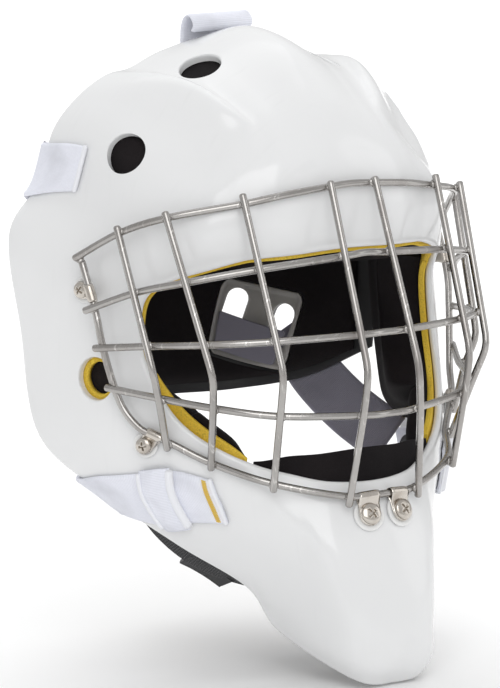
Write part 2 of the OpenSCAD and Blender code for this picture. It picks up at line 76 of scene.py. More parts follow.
# The shell's outer skin in millimetres: stations round the face opening from the crown down the
# left side to the chin, each running from the opening's edge out to the rim.
STATIONS = {
    "keel": [(0, -110, 17), (0, -110, 40), (0, -106, 62), (0, -95, 83),
            (0, -77, 101), (0, -52, 117.5), (0, -20, 123.5), (0, 8, 116.5)],
    "scoop": [(30, -109, 16), (30, -109, 40), (30, -104, 60), (28, -93, 77),
             (28, -76, 91), (30, -50, 104.5), (32, -20, 111), (34, 9, 110.5)],
    "step": [(46, -104, 15), (46, -105, 38), (44, -100, 58), (38, -88, 77),
            (40, -72, 88), (46, -50, 98), (52, -23, 102.5), (57, 6, 103)],
    "crest": [(57, -100, 14), (57, -101, 36), (54, -95, 56), (46, -82, 78),
             (51, -68, 90), (57, -47, 100), (65, -24, 103), (73, 4, 100.5)],
    "shoulder": [(72, -90, 9), (74, -92, 30), (70, -88, 48), (65, -74, 63),
                (67, -60, 76), (74, -43, 84.5), (82, -21, 90.5), (89, 6, 90.5)],
    "temple": [(84, -78, 4), (87, -76, 22), (89, -69, 37), (90, -58, 51),
              (92, -46, 61), (94, -32, 68.5), (98.5, -14, 73), (102.5, 9, 73.5)],
    "above_ear": [(91, -66, -3), (96, -60, 9), (99, -51, 19), (101, -40, 27),
                 (102, -28, 33), (104, -14, 38), (106, 1, 43), (108, 16, 45)],
    "ear_ridge": [(93, -60, -14), (100, -52, -8), (105, -42, -2), (109, -30, 4),
                 (113, -17, 9), (117, -4, 14), (122, 8, 17), (125, 17, 19)],
    "ear_side": [(93, -62, -36), (101, -54, -36), (107, -43, -35), (111, -31, -34),
                (115, -18, -33), (118, -7, -32), (120, 3, -31), (122, 11, -30)],
    "rear_corner": [(88, -74, -60), (96, -65, -66), (103, -54, -71), (108, -42, -76),
                   (111, -30, -80), (114, -18, -82), (116, -8, -84), (117, 2, -85)],
    "jaw_rear": [(80, -86, -74), (87, -79, -84), (92, -71, -92), (96, -62, -99),
                (98, -53, -105), (99, -45, -109), (99, -38, -112), (98, -33, -114)],
    "jaw": [(68, -100, -84), (73, -95, -94), (77, -90, -104), (79, -84, -113),
           (80, -79, -121), (80, -74, -128), (79, -71, -133), (77, -70, -137)],
    "jaw_front": [(55, -111, -90), (57, -113, -102), (55, -114, -114), (58, -108, -126),
                 (58, -103, -136), (57, -99, -145), (55, -96, -152), (51, -95, -158)],
    "chin_low": [(42, -121, -94), (44, -124, -108), (43, -128, -122), (42, -126, -138),
                (43, -118, -152), (43, -111, -164), (41, -106, -173), (38, -104, -181)],
    "chin_side": [(24, -130, -98), (28, -136, -112), (30, -142, -128), (29, -146, -144),
                 (28, -149, -160), (27, -150, -176), (26, -151, -190), (22, -147, -200)],
    "chin": [(0, -135, -99), (0, -142, -112), (0, -148, -129), (0, -152, -147),
            (0, -155, -165), (0, -157, -181), (0, -157, -194), (0, -151, -204)],
}
LAST = len(STATIONS) - 1
ROWS = len(STATIONS["keel"]) - 1

# Centre lines of the cage wires in millimetres, the left half of each
BARS = [
    [(0, -112.4, 51), (14, -112.4, 50.3), (38, -109.8, 48), (60, -102, 44), (91, -80, 37), (105.5, -59, 28),
     (117, -35, 13)],
    [(0, -125.5, 17), (14.5, -124.8, 16), (58, -114, 12), (89, -94, 5.5), (103, -70, -1.5), (117, -44, -13)],
    [(0, -141, -22), (15.5, -140.6, -22), (58, -128, -23), (85, -107, -25), (100, -80, -28),
     (114.5, -49, -32)],
    [(0, -147, -63), (17, -146.3, -62.5), (57, -130.5, -61), (80.5, -107, -58), (95, -80.5, -55.5),
     (111, -54.5, -52)],
]
RIM_WIRE = [
    (0, -142.4, -105.6), (22, -140, -104.8), (56, -122, -97), (75, -96, -88.5), (88, -82, -80),
    (94, -75, -76), (99.8, -68.4, -72.3), (104.5, -60.5, -63), (108, -55.5, -49), (111, -51, -31),
    (112.5, -47, -14), (113.5, -36, 11)]
UPRIGHTS = [
    [(14, -115.2, 53), (16, -151.5, -40), (18, -150, -62), (22, -143, -109)],
    [(61, -104.5, 49), (59, -138, -39), (58.5, -134, -61), (57, -126, -100)],
    [(93.5, -82.5, 40), (87, -116, -41), (83, -110, -58), (76.5, -98.5, -91)],
    [(107.5, -59.5, 31), (103, -86, -42), (98, -83, -55.5), (91.5, -81, -82)],
]

# Places on the skin: stations round the opening, rows out from its edge
HOLES = {"ear": (8.38, 2.5), "temple": (4.91, 4.38), "crown": (1.3, 5.6)}
# Clips: screw place on the skin, place along the rim wire, then width, head and washer diameters
CLIPS = {
    "chin": (14.68, 1.22, 0.46, 12, 11, 17),
    "lower": (9.56, 1.56, 5.1, 9.5, 8.5, 13.5),
    "upper": (7.22, 2.76, 10.39, 9.5, 8.5, 13.5),
}
# Bands on the skin: their top and bottom edges as skin places, from the rim forwards
UPPER_BAND = [[(5.28, 6.95), (5.22, 6.3), (5.17, 5.58)], [(6.3, 6.95), (6.06, 6), (5.82, 5.12)]]
LOWER_BAND = [[(9.64, 6.95), (9.7, 4.4), (9.96, 2.73), (10.35, 1.62), (11.08, 1.3)],
              [(10.29, 6.95), (10.5, 6), (10.8, 4.9), (11.15, 3.72), (11.61, 2.89)]]
# Shares along the lower band between which its keeper lies
KEEPER = (0.5, 0.72)

# Back plate net in millimetres: columns from the middle to the left wing
PLATE_HALF = [
    [(0, 38, 74), (0, 56, 42), (0, 66, 5), (0, 67, -35), (0, 60, -85)],
    [(36, 31, 70), (39, 48, 39), (41, 57, 4), (41, 57, -35), (39, 50, -84.5)],
    [(64, 10, 54), (71, 21, 30), (74, 28, 1), (73, 27, -33), (68, 21.5, -76.5)],
    [(84, -16, 32), (91, -11, 16), (95, -8, -6), (95, -8, -30), (92, -8, -58)],
]
PLATE_SLOTS = [(4.07, 3.18), (4.68, 3.39)]
SLOT_LENGTH, SLOT_WIDTH, SLOT_TILT = 0.028, 0.012, 19
PLATE_T, PLATE_FOAM_T, ANCHOR_T = 0.003, 0.007, 0.003
# Corners of the strap anchor and of the elastic on it, as plate places from the top near the middle
ANCHOR_QUAD = [(3.95, 2.72), (5.02, 2.98), (4.76, 3.88), (3.66, 3.58)]
ELASTIC_QUAD = [(3.87, 3.14), (4.78, 3.44), (4.62, 3.8), (3.75, 3.55)]

TOP_ROUTE = [(0, 13, 104), (0, 13, 113), (0, 12.6, 120.5), (0, 10, 126), (0, 5.5, 127.5), (0, 2, 125),
             (0, 1.2, 122.2), (0, 3, 119.7)]
CROWN_ROUTE = [(0, 16.5, 102), (0, 24, 95), (0, 34, 86.5), (0, 41.5, 76.5), (0, 47.5, 66), (0, 54, 53)]
UPPER_REAR_ROUTE = [(99, 20, 51), (94, 24.5, 49), (87, 27, 46), (77, 27.5, 41), (68, 28, 35)]
REAR_ROUTE = [(67.5, 36.8, -50.5), (69.6, 33, -56.5), (73.4, 20.8, -73.5), (80, -2, -91),
              (88.5, -28.5, -105.5)]
SLING_ROUTE = [(85.5, -50, -112), (82.5, -50.5, -119), (77, -54.5, -129), (68, -60.5, -139.5),
               (57, -66.5, -148), (44, -71.5, -154.5), (30, -76, -159.5), (20, -79.5, -162.5),
               (0, -84, -167.6)]
TAIL_ROUTE = [(-64, -57, -146.5), (-57, -59, -150.5), (-49, -61, -156), (-42, -62.5, -161.5)]
STUD_AXIS = (0, -50, -107)

# Sizes in metres: the gap between layers, then the clips, cage, sling, foam edges, ear hole and floor
GAP = 0.0003
CLIP_METAL, WASHER_T, HEAD_H, NUT_T = 0.0007, 0.0016, 0.0026, 0.0028
TAB_BASE = GAP + WASHER_T
WELD_REACH, CORNER_RADIUS = 0.008, 0.007
STUD_X, HUB_X = 0.0825, 0.0845
SLING_WIDTH, SLING_T, TAIL_WIDTH, TAIL_T = 0.018, 0.0018, 0.012, 0.0022
SHEET_EDGE, PAD_EDGE = 0.0008, 0.0012
EAR_TRIM = 0.005
FLOOR_HALF = 4


# ---- Settings ----
def length_setting(name, about, default, low, high):
    return FloatProperty(name=name, description=about, default=default, min=low, max=high, unit="LENGTH")


def count_setting(name, about, default, low, high):
    return IntProperty(name=name, description=about, default=default, min=low, max=high)


def colour_setting(name, about, default):
    return FloatVectorProperty(name=name, description=about, subtype="COLOR", default=default, min=0, max=1)


class ShellSettings(bpy.types.PropertyGroup):
    thickness: length_setting("Shell thickness", "Thickness of the moulded shell", 0.004, 0.003, 0.005)
    vent: length_setting("Vent diameter", "Diameter of the ear holes and vents", 0.022, 0.016, 0.026)
    columns: count_setting("Columns per station", "Mesh columns between two stations", 12, 4, 20)
    rows: count_setting("Rows per step", "Mesh rows between two rows of the net", 10, 4, 16)
    color: colour_setting("Shell colour", "Colour of the gloss shell", (0.79, 0.795, 0.80))


class CageSettings(bpy.types.PropertyGroup):
    wire: length_setting("Wire diameter", "Diameter of the cage wire", 0.0038, 0.003, 0.005)
    sides: count_setting("Wire sides", "Sides of the wire's section", 20, 8, 32)
    steel: colour_setting("Steel colour", "Colour of the polished wire", (0.43, 0.415, 0.40))
    nickel: colour_setting("Nickel colour", "Colour of the clips and screws", (0.60, 0.56, 0.51))


class FoamSettings(bpy.types.PropertyGroup):
    outer: length_setting("Outer foam", "Thickness of the yellow layer", 0.0032, 0.002, 0.006)
    cheek: length_setting("Cheek pad", "Thickness of the cheek pads", 0.023, 0.008, 0.025)
    forehead: length_setting("Forehead pad", "Thickness of the forehead pad", 0.009, 0.005, 0.015)
    pad: length_setting(
        "Other pads", "Thickness of the crown, temple, jaw and chin pads", 0.010, 0.005, 0.015)
    yellow: colour_setting("Yellow foam", "Colour of the outer foam", (0.82, 0.57, 0.07))
    black: colour_setting("Black foam", "Colour of the inner foam", (0.009, 0.006, 0.007))


class StrapSettings(bpy.types.PropertyGroup):
    thickness: length_setting("Strap thickness", "Thickness of the elastic", 0.0018, 0.001, 0.003)
    crown_width: length_setting("Crown strap width", "Width of the crown strap", 0.038, 0.025, 0.045)
    rear_width: length_setting("Rear strap width", "Width of the rear elastic straps", 0.030, 0.02, 0.04)
    white: colour_setting("White elastic", "Colour of the pale elastic", (0.739, 0.752, 0.822))
    grey: colour_setting("Grey elastic", "Colour of the slate elastic", (0.235, 0.225, 0.275))


class StageSettings(bpy.types.PropertyGroup):
    azimuth: FloatProperty(
        name="Azimuth", description="Camera's turn round the mask",
        default=math.radians(-35), unit="ROTATION")
    elevation: FloatProperty(
        name="Elevation", description="Camera's height angle", default=math.radians(10), unit="ROTATION")
    distance: length_setting("Distance", "Camera's distance", 2.6, 1, 6)
    lens: FloatProperty(
        name="Lens", description="Focal length in millimetres", default=266.6, min=50, max=400)
    floor: colour_setting("Floor colour", "Colour of the pale floor", (0.93, 0.93, 0.93))


class MaskSettings(bpy.types.PropertyGroup):
    shell: PointerProperty(type=ShellSettings, name="Shell", description="Sizes and colour of the shell")
    cage: PointerProperty(type=CageSettings, name="Cage", description="Sizes and colours of the cage")
    foam: PointerProperty(type=FoamSettings, name="Foam", description="Sizes and colours of the liner")
    straps: PointerProperty(type=StrapSettings, name="Straps", description="Sizes and colours of the straps")
    stage: PointerProperty(type=StageSettings, name="Stage", description="Camera and floor")


# ---- Curves and surfaces ----
def mirrored(points):
    """The points on the other side of the middle plane."""
    return np.asarray(points, float) * (-1, 1, 1)


def net_of(columns):
    """Net of points in metres from columns in millimetres."""
    return np.array(columns, float) * MM


SKIN = net_of(list(STATIONS.values()))
SKIN = np.concatenate([SKIN, mirrored(SKIN[1:-1][::-1])])
PLATE_NET = np.concatenate([mirrored(net_of(PLATE_HALF)[:0:-1]), net_of(PLATE_HALF)])


def weights(t):
    """Weights of the four neighbours for a smooth curve at t between the middle two."""
    t = np.asarray(t, float)[..., None]
    shares = [-t + 2 * t**2 - t**3, 2 - 5 * t**2 + 3 * t**3, t + 4 * t**2 - 3 * t**3, -t**2 + t**3]
    return 0.5 * np.concatenate(shares, -1)


def along(points, t):
    """Points at t on the smooth open curve through points."""
    p = np.asarray(points, float)
    p = np.concatenate([[2 * p[0] - p[1]], p, [2 * p[-1] - p[-2]]])
    t = np.asarray(t, float)
    i = np.clip(np.floor(t).astype(int), 0, len(p) - 4)
    w = weights(t - i)
    return sum(w[..., k, None] * p[i + k] for k in range(4))


def smooth_path(points, count):
    return along(points, np.linspace(0, len(points) - 1, count))


def net_point(net, u, v, ring):
    """Points at u columns and v rows on the smooth surface through net."""
    u, v = np.broadcast_arrays(np.asarray(u, float), np.asarray(v, float))
    rows = np.concatenate([2 * net[:, :1] - net[:, 1:2], net, 2 * net[:, -1:] - net[:, -2:-1]], 1)
    if not ring:
        rows = np.concatenate([2 * rows[:1] - rows[1:2], rows, 2 * rows[-1:] - rows[-2:-1]])
    i = np.floor(u).astype(int) if ring else np.clip(np.floor(u).astype(int), 0, len(net) - 2)
    j = np.clip(np.floor(v).astype(int), 0, net.shape[1] - 2)
    wu, wv = weights(u - i), weights(v - j)
    out = np.zeros(u.shape + (3,))
    for a in range(4):
        column = (i - 1 + a) % len(rows) if ring else i + a
        for b in range(4):
            out += (wu[..., a] * wv[..., b])[..., None] * rows[column, j + b]
    return out


def unit(v):
    v = np.asarray(v, float)
    return v / np.maximum(np.linalg.norm(v, axis=-1, keepdims=True), 1e-12)


def skin(u, v):
    return net_point(SKIN, u, v, True)


def skin_normal(u, v):
    """Outward directions of the skin, with the first row's held past the opening."""
    h, at = 0.15, np.maximum(0, np.asarray(v, float))
    low, high = np.maximum(0, at - h), np.minimum(ROWS, at + h)
    u = np.asarray(u, float)
    return unit(np.cross(skin(u + h, at) - skin(u - h, at), skin(u, high) - skin(u, low)))


def below_skin(u, v, depth):
    """Points at a depth inside the skin."""
    return skin(u, v) - np.asarray(depth)[..., None] * skin_normal(u, v)


def plate_face(u, v):
    return net_point(PLATE_NET, u, v, False)


def plate_normal(u, v):
    h, n, m = 0.1, len(PLATE_NET) - 1, PLATE_NET.shape[1] - 1
    u, v = np.asarray(u, float), np.asarray(v, float)
    across = plate_face(np.minimum(n, u + h), v) - plate_face(np.maximum(0, u - h), v)
    down = plate_face(u, np.minimum(m, v + h)) - plate_face(u, np.maximum(0, v - h))
    return unit(np.cross(across, down))


def plate_in(u, v, depth):
    """Points at a depth inside the back plate's outer face."""
    return plate_face(u, v) - np.asarray(depth)[..., None] * plate_normal(u, v)


def whole(half):
    """A route across the middle plane from its left half."""
    half = np.asarray(half, float)
    return np.concatenate([mirrored(half[:0:-1]), half])


# ---- Mesh making ----
def add_mesh(name, points, faces, uvs=None):
    """New smooth mesh object from plain lists; uvs gives one pair per point."""
    mesh = bpy.data.meshes.new(name)
    mesh.from_pydata([tuple(p) for p in points], [], [tuple(int(i) for i in f) for f in faces])
    if uvs is not None:
        layer = mesh.uv_layers.new(name="UVMap")
        index = np.zeros(len(mesh.loops), int)
        mesh.loops.foreach_get("vertex_index", index)
        layer.data.foreach_set("uv", np.asarray(uvs, float)[index].ravel())
    mesh.validate()
    mesh.shade_smooth()
    obj = bpy.data.objects.new(name, mesh)
    bpy.context.scene.collection.objects.link(obj)
    return obj


def grid_faces(columns, count, ring_u=False, ring_v=False, start=0):
    """Faces over a grid of points, closed on itself along u or v where asked."""
    faces = []
    for i in range(columns if ring_u else columns - 1):
        a, b = start + i * count, start + ((i + 1) % columns) * count
        for j in range(count if ring_v else count - 1):
            k = (j + 1) % count
            faces.append((a + j, b + j, b + k, a + k))
    return faces


def closed_faces(rings, sides):
    """Faces of rings of points with a flat face over each end."""
    last = (rings - 1) * sides
    return grid_faces(rings, sides, ring_v=True) + [
        tuple(range(sides))[::-1], tuple(last + k for k in range(sides))]


def select(*objects):
    """Selects only these objects; the first becomes active."""
    bpy.ops.object.select_all(action="DESELECT")
    for obj in objects:
        obj.select_set(True)
    bpy.context.view_layer.objects.active = objects[0]


def join(name, objects):
    """Joins mesh objects into one; the first keeps its name and material."""
    select(*objects)
    bpy.ops.object.join()
    objects[0].name = objects[0].data.name = name
    return objects[0]


def apply_modifiers(obj):
    select(obj)
    for modifier in list(obj.modifiers):
        bpy.ops.object.modifier_apply(modifier=modifier.name)


def soften(obj, width, angle=60, sharp=None):
    """Rounds the edges steeper than angle; the shading stays crisp over sharp degrees where that is given."""
    modifier = obj.modifiers.new("Rounded edges", "BEVEL")
    modifier.width = width
    modifier.segments = 3
    modifier.limit_method = "ANGLE"
    modifier.angle_limit = math.radians(angle)
    apply_modifiers(obj)
    if sharp is None:
        obj.data.shade_smooth()
    else:
        obj.data.set_sharp_from_angle(angle=math.radians(sharp))


def fix_normals(obj):
    """Turns every face outwards."""
    select(obj)
    bpy.ops.object.mode_set(mode="EDIT")
    bpy.ops.mesh.select_all(action="SELECT")
    bpy.ops.mesh.normals_make_consistent(inside=False)
    bpy.ops.object.mode_set(mode="OBJECT")


def slab(name, outer, inner, uvs=None):
    """Closed solid between two grids of points."""
    columns, count = outer.shape[:2]
    n = columns * count
    points = np.concatenate([outer.reshape(-1, 3), inner.reshape(-1, 3)])
    faces = grid_faces(columns, count) + [f[::-1] for f in grid_faces(columns, count, start=n)]
    for i in range(columns - 1):
        a, b = i * count, (i + 1) * count
        faces.append((a, n + a, n + b, b))
        faces.append((a + count - 1, b + count - 1, n + b + count - 1, n + a + count - 1))
    for j in range(count - 1):
        b = (columns - 1) * count
        faces.append((j, j + 1, n + j + 1, n + j))
        faces.append((b + j, n + b + j, n + b + j + 1, b + j + 1))
    if uvs is not None:
        uvs = np.concatenate([uvs.reshape(-1, 2)] * 2)
    obj = add_mesh(name, points, faces, uvs)
    fix_normals(obj)
    return obj


def ribbon(name, middle, half_t, edge=0.3):
    """Ribbon with bound edges round a grid of middle points (along, across); UVs are in metres."""
    normal = unit(np.cross(np.gradient(middle, axis=0), np.gradient(middle, axis=1)))
    count, m = middle.shape[:2]
    a = np.linspace(-1, 1, m)
    a = np.sin(a * math.pi / 2)
    rise = np.sqrt(np.clip(1 - np.abs(a) ** 12, 0.05, 1)) + edge * np.exp(-((np.abs(a) - 0.9) / 0.07) ** 4)
    top = middle + half_t * rise[None, :, None] * normal
    bottom = middle - half_t * rise[None, :, None] * normal
    ring = np.concatenate([top, bottom[:, ::-1]], 1)
    steps = np.linalg.norm(np.diff(middle, axis=0), axis=2).mean(1)
    length = np.concatenate([[0], np.cumsum(steps)])
    width = np.linalg.norm(middle[:, -1] - middle[:, 0], axis=1)
    across = np.concatenate([a, a[::-1]])[None, :] * width[:, None] / 2
    uvs = np.stack([np.broadcast_to(length[:, None], across.shape), across], -1)
    obj = add_mesh(name, ring.reshape(-1, 3), closed_faces(count, 2 * m), uvs.reshape(-1, 2))
    fix_normals(obj)
    return obj


def strip_grid(path, side, half_w, cuts=21):
    """Middle points of a strip along path; side is the way its width takes."""
    way = unit(np.gradient(path, axis=0))
    across = np.cross(way, unit(np.cross(np.broadcast_to(side, path.shape), way)))
    share = half_w * np.sin(np.linspace(-math.pi / 2, math.pi / 2, cuts))
    return path[:, None] + share[None, :, None] * across[:, None]


def strip(name, route, side, width, thickness, count=60, edge=0.3):
    """Ribbon along a route in millimetres."""
    path = smooth_path(np.asarray(route, float) * MM, count)
    return ribbon(name, strip_grid(path, side, width / 2), thickness / 2, edge)


def tube(path, radius, sides, caps=3):
    """Points and faces of a round wire with domed ends."""
    path = np.asarray(path, float)
    way = unit(np.gradient(path, axis=0))
    lift = np.zeros_like(path)
    start = np.cross(way[0], (0, 0, 1.0)) if abs(way[0][2]) < 0.9 else np.cross(way[0], (1.0, 0, 0))
    lift[0] = unit(start)
    for i in range(1, len(path)):
        lift[i] = unit(lift[i - 1] - (lift[i - 1] @ way[i]) * way[i])
    side = np.cross(way, lift)

    def cap_rings(at, way_out, order):
        for k in order:
            a = math.pi / 2 * k / (caps + 0.4)
            middle = path[at] + way_out * way[at] * radius * 0.6 * math.sin(a)
            yield middle, lift[at], side[at], radius * math.cos(a)

    rings = list(cap_rings(0, -1, range(caps, 0, -1)))
    rings += [(p, l, s, radius) for p, l, s in zip(path, lift, side)]
    rings += cap_rings(-1, 1, range(1, caps + 1))
    turn = np.linspace(0, 2 * math.pi, sides, endpoint=False)
    points = [p + r * (math.cos(t) * l + math.sin(t) * s) for p, l, s, r in rings for t in turn]
    return points, [f[::-1] for f in closed_faces(len(rings), sides)]


def many(name, parts):
    """One object from several (points, faces) parts."""
    points, faces = [], []
    for p, f in parts:
        faces += [tuple(i + len(points) for i in face) for face in f]
        points += list(p)
    obj = add_mesh(name, points, faces)
    fix_normals(obj)
    return obj


def lathe(profile, sides, centre, z_axis):
    """Points and faces of a turned shape: profile holds (radius, height) from the bottom up."""
    z = unit(z_axis)
    x = unit(np.cross(z, (0.3, 0.2, 1.0)))
    y = np.cross(z, x)
    turn = np.linspace(0, 2 * math.pi, sides, endpoint=False)
    spokes = [math.cos(t) * x + math.sin(t) * y for t in turn]
    points = [np.asarray(centre) + r * spoke + h * z for r, h in profile for spoke in spokes]
    return points, closed_faces(len(profile), sides)


# ---- Materials ----
def node(tree, kind, x=0, y=0, **values):
    made = tree.nodes.new(kind)
    made.location = (x, y)
    for key, value in values.items():
        setattr(made, key, value)
    return made


def link(tree, a, output, b, entry):
    tree.links.new(a.outputs[output], b.inputs[entry])


def set_inputs(made, **values):
    """Sets a node's inputs; an underscore in a name stands for a space."""
    for key, value in values.items():
        made.inputs[key.replace("_", " ")].default_value = value
    return made


def math_node(tree, operation, a, b=0):
    """Output of a maths node whose inputs are numbers or sockets."""
    made = node(tree, "ShaderNodeMath", operation=operation)
    for i, value in enumerate((a, b)):
        if isinstance(value, (int, float)):
            made.inputs[i].default_value = value
        else:
            tree.links.new(value, made.inputs[i])
    return made.outputs[0]


def effect_group(name, inputs, outputs):
    """Empty node group with float inputs (name, default) and outputs; a Vector input is added first."""
    group = bpy.data.node_groups.new(name, "ShaderNodeTree")
    group.interface.new_socket("Vector", in_out="INPUT", socket_type="NodeSocketVector")
    for label, default in inputs:
        socket = group.interface.new_socket(label, in_out="INPUT", socket_type="NodeSocketFloat")
        socket.default_value = default
    for label in outputs:
        group.interface.new_socket(label, in_out="OUTPUT", socket_type="NodeSocketFloat")
    return group, node(group, "NodeGroupInput", -800), node(group, "NodeGroupOutput", 600)


def weave_group():
    """Ribbed elastic: fine cords along the strip, crossed by weft threads; one output is a painted rib light
    mask that makes the raised cords lighter than the grooves, mixed with random fuzz. Vector is in metres.
    """
    group, start, end = effect_group("Ribbed Weave", [("Ribs", 900.0), ("Weft", 700.0)], ["Height", "Painted Rib Light And Fuzz"])

    def times(a, b):
        return math_node(group, "MULTIPLY", a, b)

    split = node(group, "ShaderNodeSeparateXYZ", -600)
    link(group, start, "Vector", split, 0)
    rib = math_node(group, "SINE", times(split.outputs["Y"], start.outputs["Ribs"]))
    phase = times(math_node(group, "SIGN", rib), 1.57)
    weft_at = math_node(group, "ADD", times(split.outputs["X"], start.outputs["Weft"]), phase)
    weft = math_node(group, "ABSOLUTE", math_node(group, "SINE", weft_at))
    high = times(math_node(group, "ABSOLUTE", rib), weft)
    group.links.new(high, end.inputs["Height"])
    fuzz = set_inputs(node(group, "ShaderNodeTexNoise", -300, -300), Scale=700)
    link(group, start, "Vector", fuzz, "Vector")
    # Painted highlight on the raised cords and painted shade in the grooves, from the rib height, plus a
    # little random fuzz tone
    tone = math_node(group, "ADD", times(high, 0.7), times(fuzz.outputs[0], 0.3))
    group.links.new(tone, end.inputs["Painted Rib Light And Fuzz"])
    return group


def grain_group():
    """Moulded grain, cast pits and slow drift of tone. Vector is in metres."""
    group, start, end = effect_group(
        "Moulded Grain", [("Scale", 900.0), ("Drift", 14.0)], ["Height", "Tone", "Speckle"])
    fine = set_inputs(node(group, "ShaderNodeTexNoise", -400, 200), Detail=4)
    slow = set_inputs(node(group, "ShaderNodeTexNoise", -400, -100), Detail=3)
    dots = node(group, "ShaderNodeTexVoronoi", -400, -400)
    for texture in (fine, slow, dots):
        link(group, start, "Vector", texture, "Vector")
    link(group, start, "Scale", fine, "Scale")
    link(group, start, "Drift", slow, "Scale")
    link(group, start, "Scale", dots, "Scale")
    link(group, fine, 0, end, "Height")
    link(group, slow, 0, end, "Tone")
    link(group, dots, "Distance", end, "Speckle")
    return group


def wear_group():
    """Rubbed edges and short handling scuffs as masks. Vector is in metres."""
    group, start, end = effect_group("Handling Wear", [("Scale", 60.0), ("Edge", 0.5)], ["Edges", "Scuffs"])
    shape = node(group, "ShaderNodeNewGeometry", -600, 200)
    rub = set_inputs(node(group, "ShaderNodeMapRange", -200, 200), From_Min=0.51, From_Max=0.60)
    link(group, shape, "Pointiness", rub, "Value")
    patch = set_inputs(node(group, "ShaderNodeTexNoise", -600, -100), Detail=6)
    link(group, start, "Vector", patch, "Vector")
    link(group, start, "Scale", patch, "Scale")
    worn = math_node(group, "MULTIPLY", patch.outputs[0], start.outputs["Edge"])
    edges = math_node(group, "MULTIPLY", rub.outputs[0], worn)
    group.links.new(edges, end.inputs["Edges"])
    stretch = set_inputs(node(group, "ShaderNodeMapping", -600, -400), Scale=(1, 6, 0.6))
    link(group, start, "Vector", stretch, "Vector")
    streaks = set_inputs(node(group, "ShaderNodeTexNoise", -400, -400), Detail=8)
    link(group, stretch, 0, streaks, "Vector")
    link(group, start, "Scale", streaks, "Scale")
    marks = set_inputs(node(group, "ShaderNodeMapRange", -200, -400), From_Min=0.60, From_Max=0.72)
    link(group, streaks, 0, marks, "Value")
    link(group, marks, 0, end, "Scuffs")
    return group


GROUPS = {}


def effect(name):
    """The node group of an effect, made once."""
    makers = {"weave": weave_group, "grain": grain_group, "wear": wear_group}
    if name not in GROUPS:
        GROUPS[name] = makers[name]()
    return GROUPS[name]


class Finish:
    """A material being built: the shader, its coordinates and the sockets that effects feed."""

    def __init__(self, name, color, roughness, metallic=0.0, uv=False, **sockets):
        self.material = bpy.data.materials.new(name)
        self.material.use_nodes = True
        self.material.diffuse_color = (*color, 1)
        self.tree = self.material.node_tree
        self.shader = self.tree.nodes["Principled BSDF"]
        self.color = color
        set_inputs(self.shader, Base_Color=(*color, 1), Roughness=roughness, Metallic=metallic, **sockets)
        self.coordinates = node(self.tree, "ShaderNodeTexCoord", -1400).outputs["UV" if uv else "Object"]
        self.base = None
        self.height = None

    def use(self, name, **values):
        """Adds an effect's group to the material and sets its inputs."""
        y = 300 * len(self.tree.nodes) // 4
        made = node(self.tree, "ShaderNodeGroup", -1100, y, node_tree=effect(name))
        self.tree.links.new(self.coordinates, made.inputs["Vector"])
        return set_inputs(made, **values)

    def tint(self, factor, color, low=0.0, high=1.0):
        """Mixes color over the base where factor goes from low to high."""
        span = set_inputs(node(self.tree, "ShaderNodeMapRange", -700, 300), From_Min=low, From_Max=high)
        self.tree.links.new(factor, span.inputs["Value"])
        mix = node(self.tree, "ShaderNodeMix", -450, 300, data_type="RGBA")
        set_inputs(mix, A=(*self.color, 1), B=(*color, 1))
        if self.base is not None:
            self.tree.links.new(self.base, mix.inputs["A"])
        self.tree.links.new(span.outputs[0], mix.inputs["Factor"])
        self.base = mix.outputs["Result"]
        self.tree.links.new(self.base, self.shader.inputs["Base Color"])

    def rough(self, factor, low, high, lowest=0.0, highest=1.0):
        """Roughness from low to high where factor goes from lowest to highest."""
        span = node(self.tree, "ShaderNodeMapRange", -450, -100)
        set_inputs(span, From_Min=lowest, From_Max=highest, To_Min=low, To_Max=high)
        self.tree.links.new(factor, span.inputs["Value"])
        self.tree.links.new(span.outputs[0], self.shader.inputs["Roughness"])

    def bump(self, height, distance, strength):
        """Small relief of the given depth from height."""
        made = set_inputs(node(self.tree, "ShaderNodeBump", -250, -400), Distance=distance, Strength=strength)
        self.tree.links.new(height, made.inputs["Height"])
        if self.height is not None:
            self.tree.links.new(self.height, made.inputs["Normal"])
        self.height = made.outputs[0]
        self.tree.links.new(self.height, self.shader.inputs["Normal"])


def shade(color, factor):
    """A lighter or darker shade of a colour."""
    return tuple(min(1.0, c * factor) for c in color)


def shell_finish(sizes):
    look = Finish("Gloss white shell", tuple(sizes.shell.color), 0.2, Coat_Weight=0.35, Coat_Roughness=0.07)
    grain = look.use("grain", Scale=420.0, Drift=9.0)
    wear = look.use("wear", Scale=45.0, Edge=0.6)
    look.tint(grain.outputs["Tone"], shade(look.color, 0.965), 0.4, 0.75)
    look.tint(wear.outputs["Edges"], (0.86, 0.86, 0.86), 0.2, 1.6)
    look.tint(wear.outputs["Scuffs"], shade(look.color, 0.97), 0.0, 1.4)
    look.rough(wear.outputs["Scuffs"], 0.17, 0.27)
    look.bump(grain.outputs["Height"], 0.00006, 0.25)
    return look.material


def wire_finish(sizes):
    look = Finish("Polished cage wire", tuple(sizes.cage.steel), 0.2, 1.0)
    grain = look.use("grain", Scale=1600.0, Drift=45.0)
    wear = look.use("wear", Scale=160.0, Edge=0.4)
    look.tint(grain.outputs["Tone"], (0.30, 0.28, 0.265), 0.45, 0.8)
    look.tint(wear.outputs["Scuffs"], (0.72, 0.70, 0.68), 0.0, 1.2)
    look.rough(grain.outputs["Tone"], 0.16, 0.32, 0.3, 0.7)
    look.bump(grain.outputs["Height"], 0.00004, 0.3)
    return look.material


def nickel_finish(sizes):
    look = Finish("Bright nickel", tuple(sizes.cage.nickel), 0.18, 1.0)
    grain = look.use("grain", Scale=1500.0, Drift=120.0)
    wear = look.use("wear", Scale=220.0, Edge=0.8)
    look.tint(grain.outputs["Tone"], (0.40, 0.35, 0.30), 0.45, 0.85)
    look.tint(wear.outputs["Edges"], (0.88, 0.85, 0.80))
    look.rough(grain.outputs["Tone"], 0.12, 0.3, 0.3, 0.7)
    look.bump(grain.outputs["Height"], 0.00004, 0.4)
    return look.material


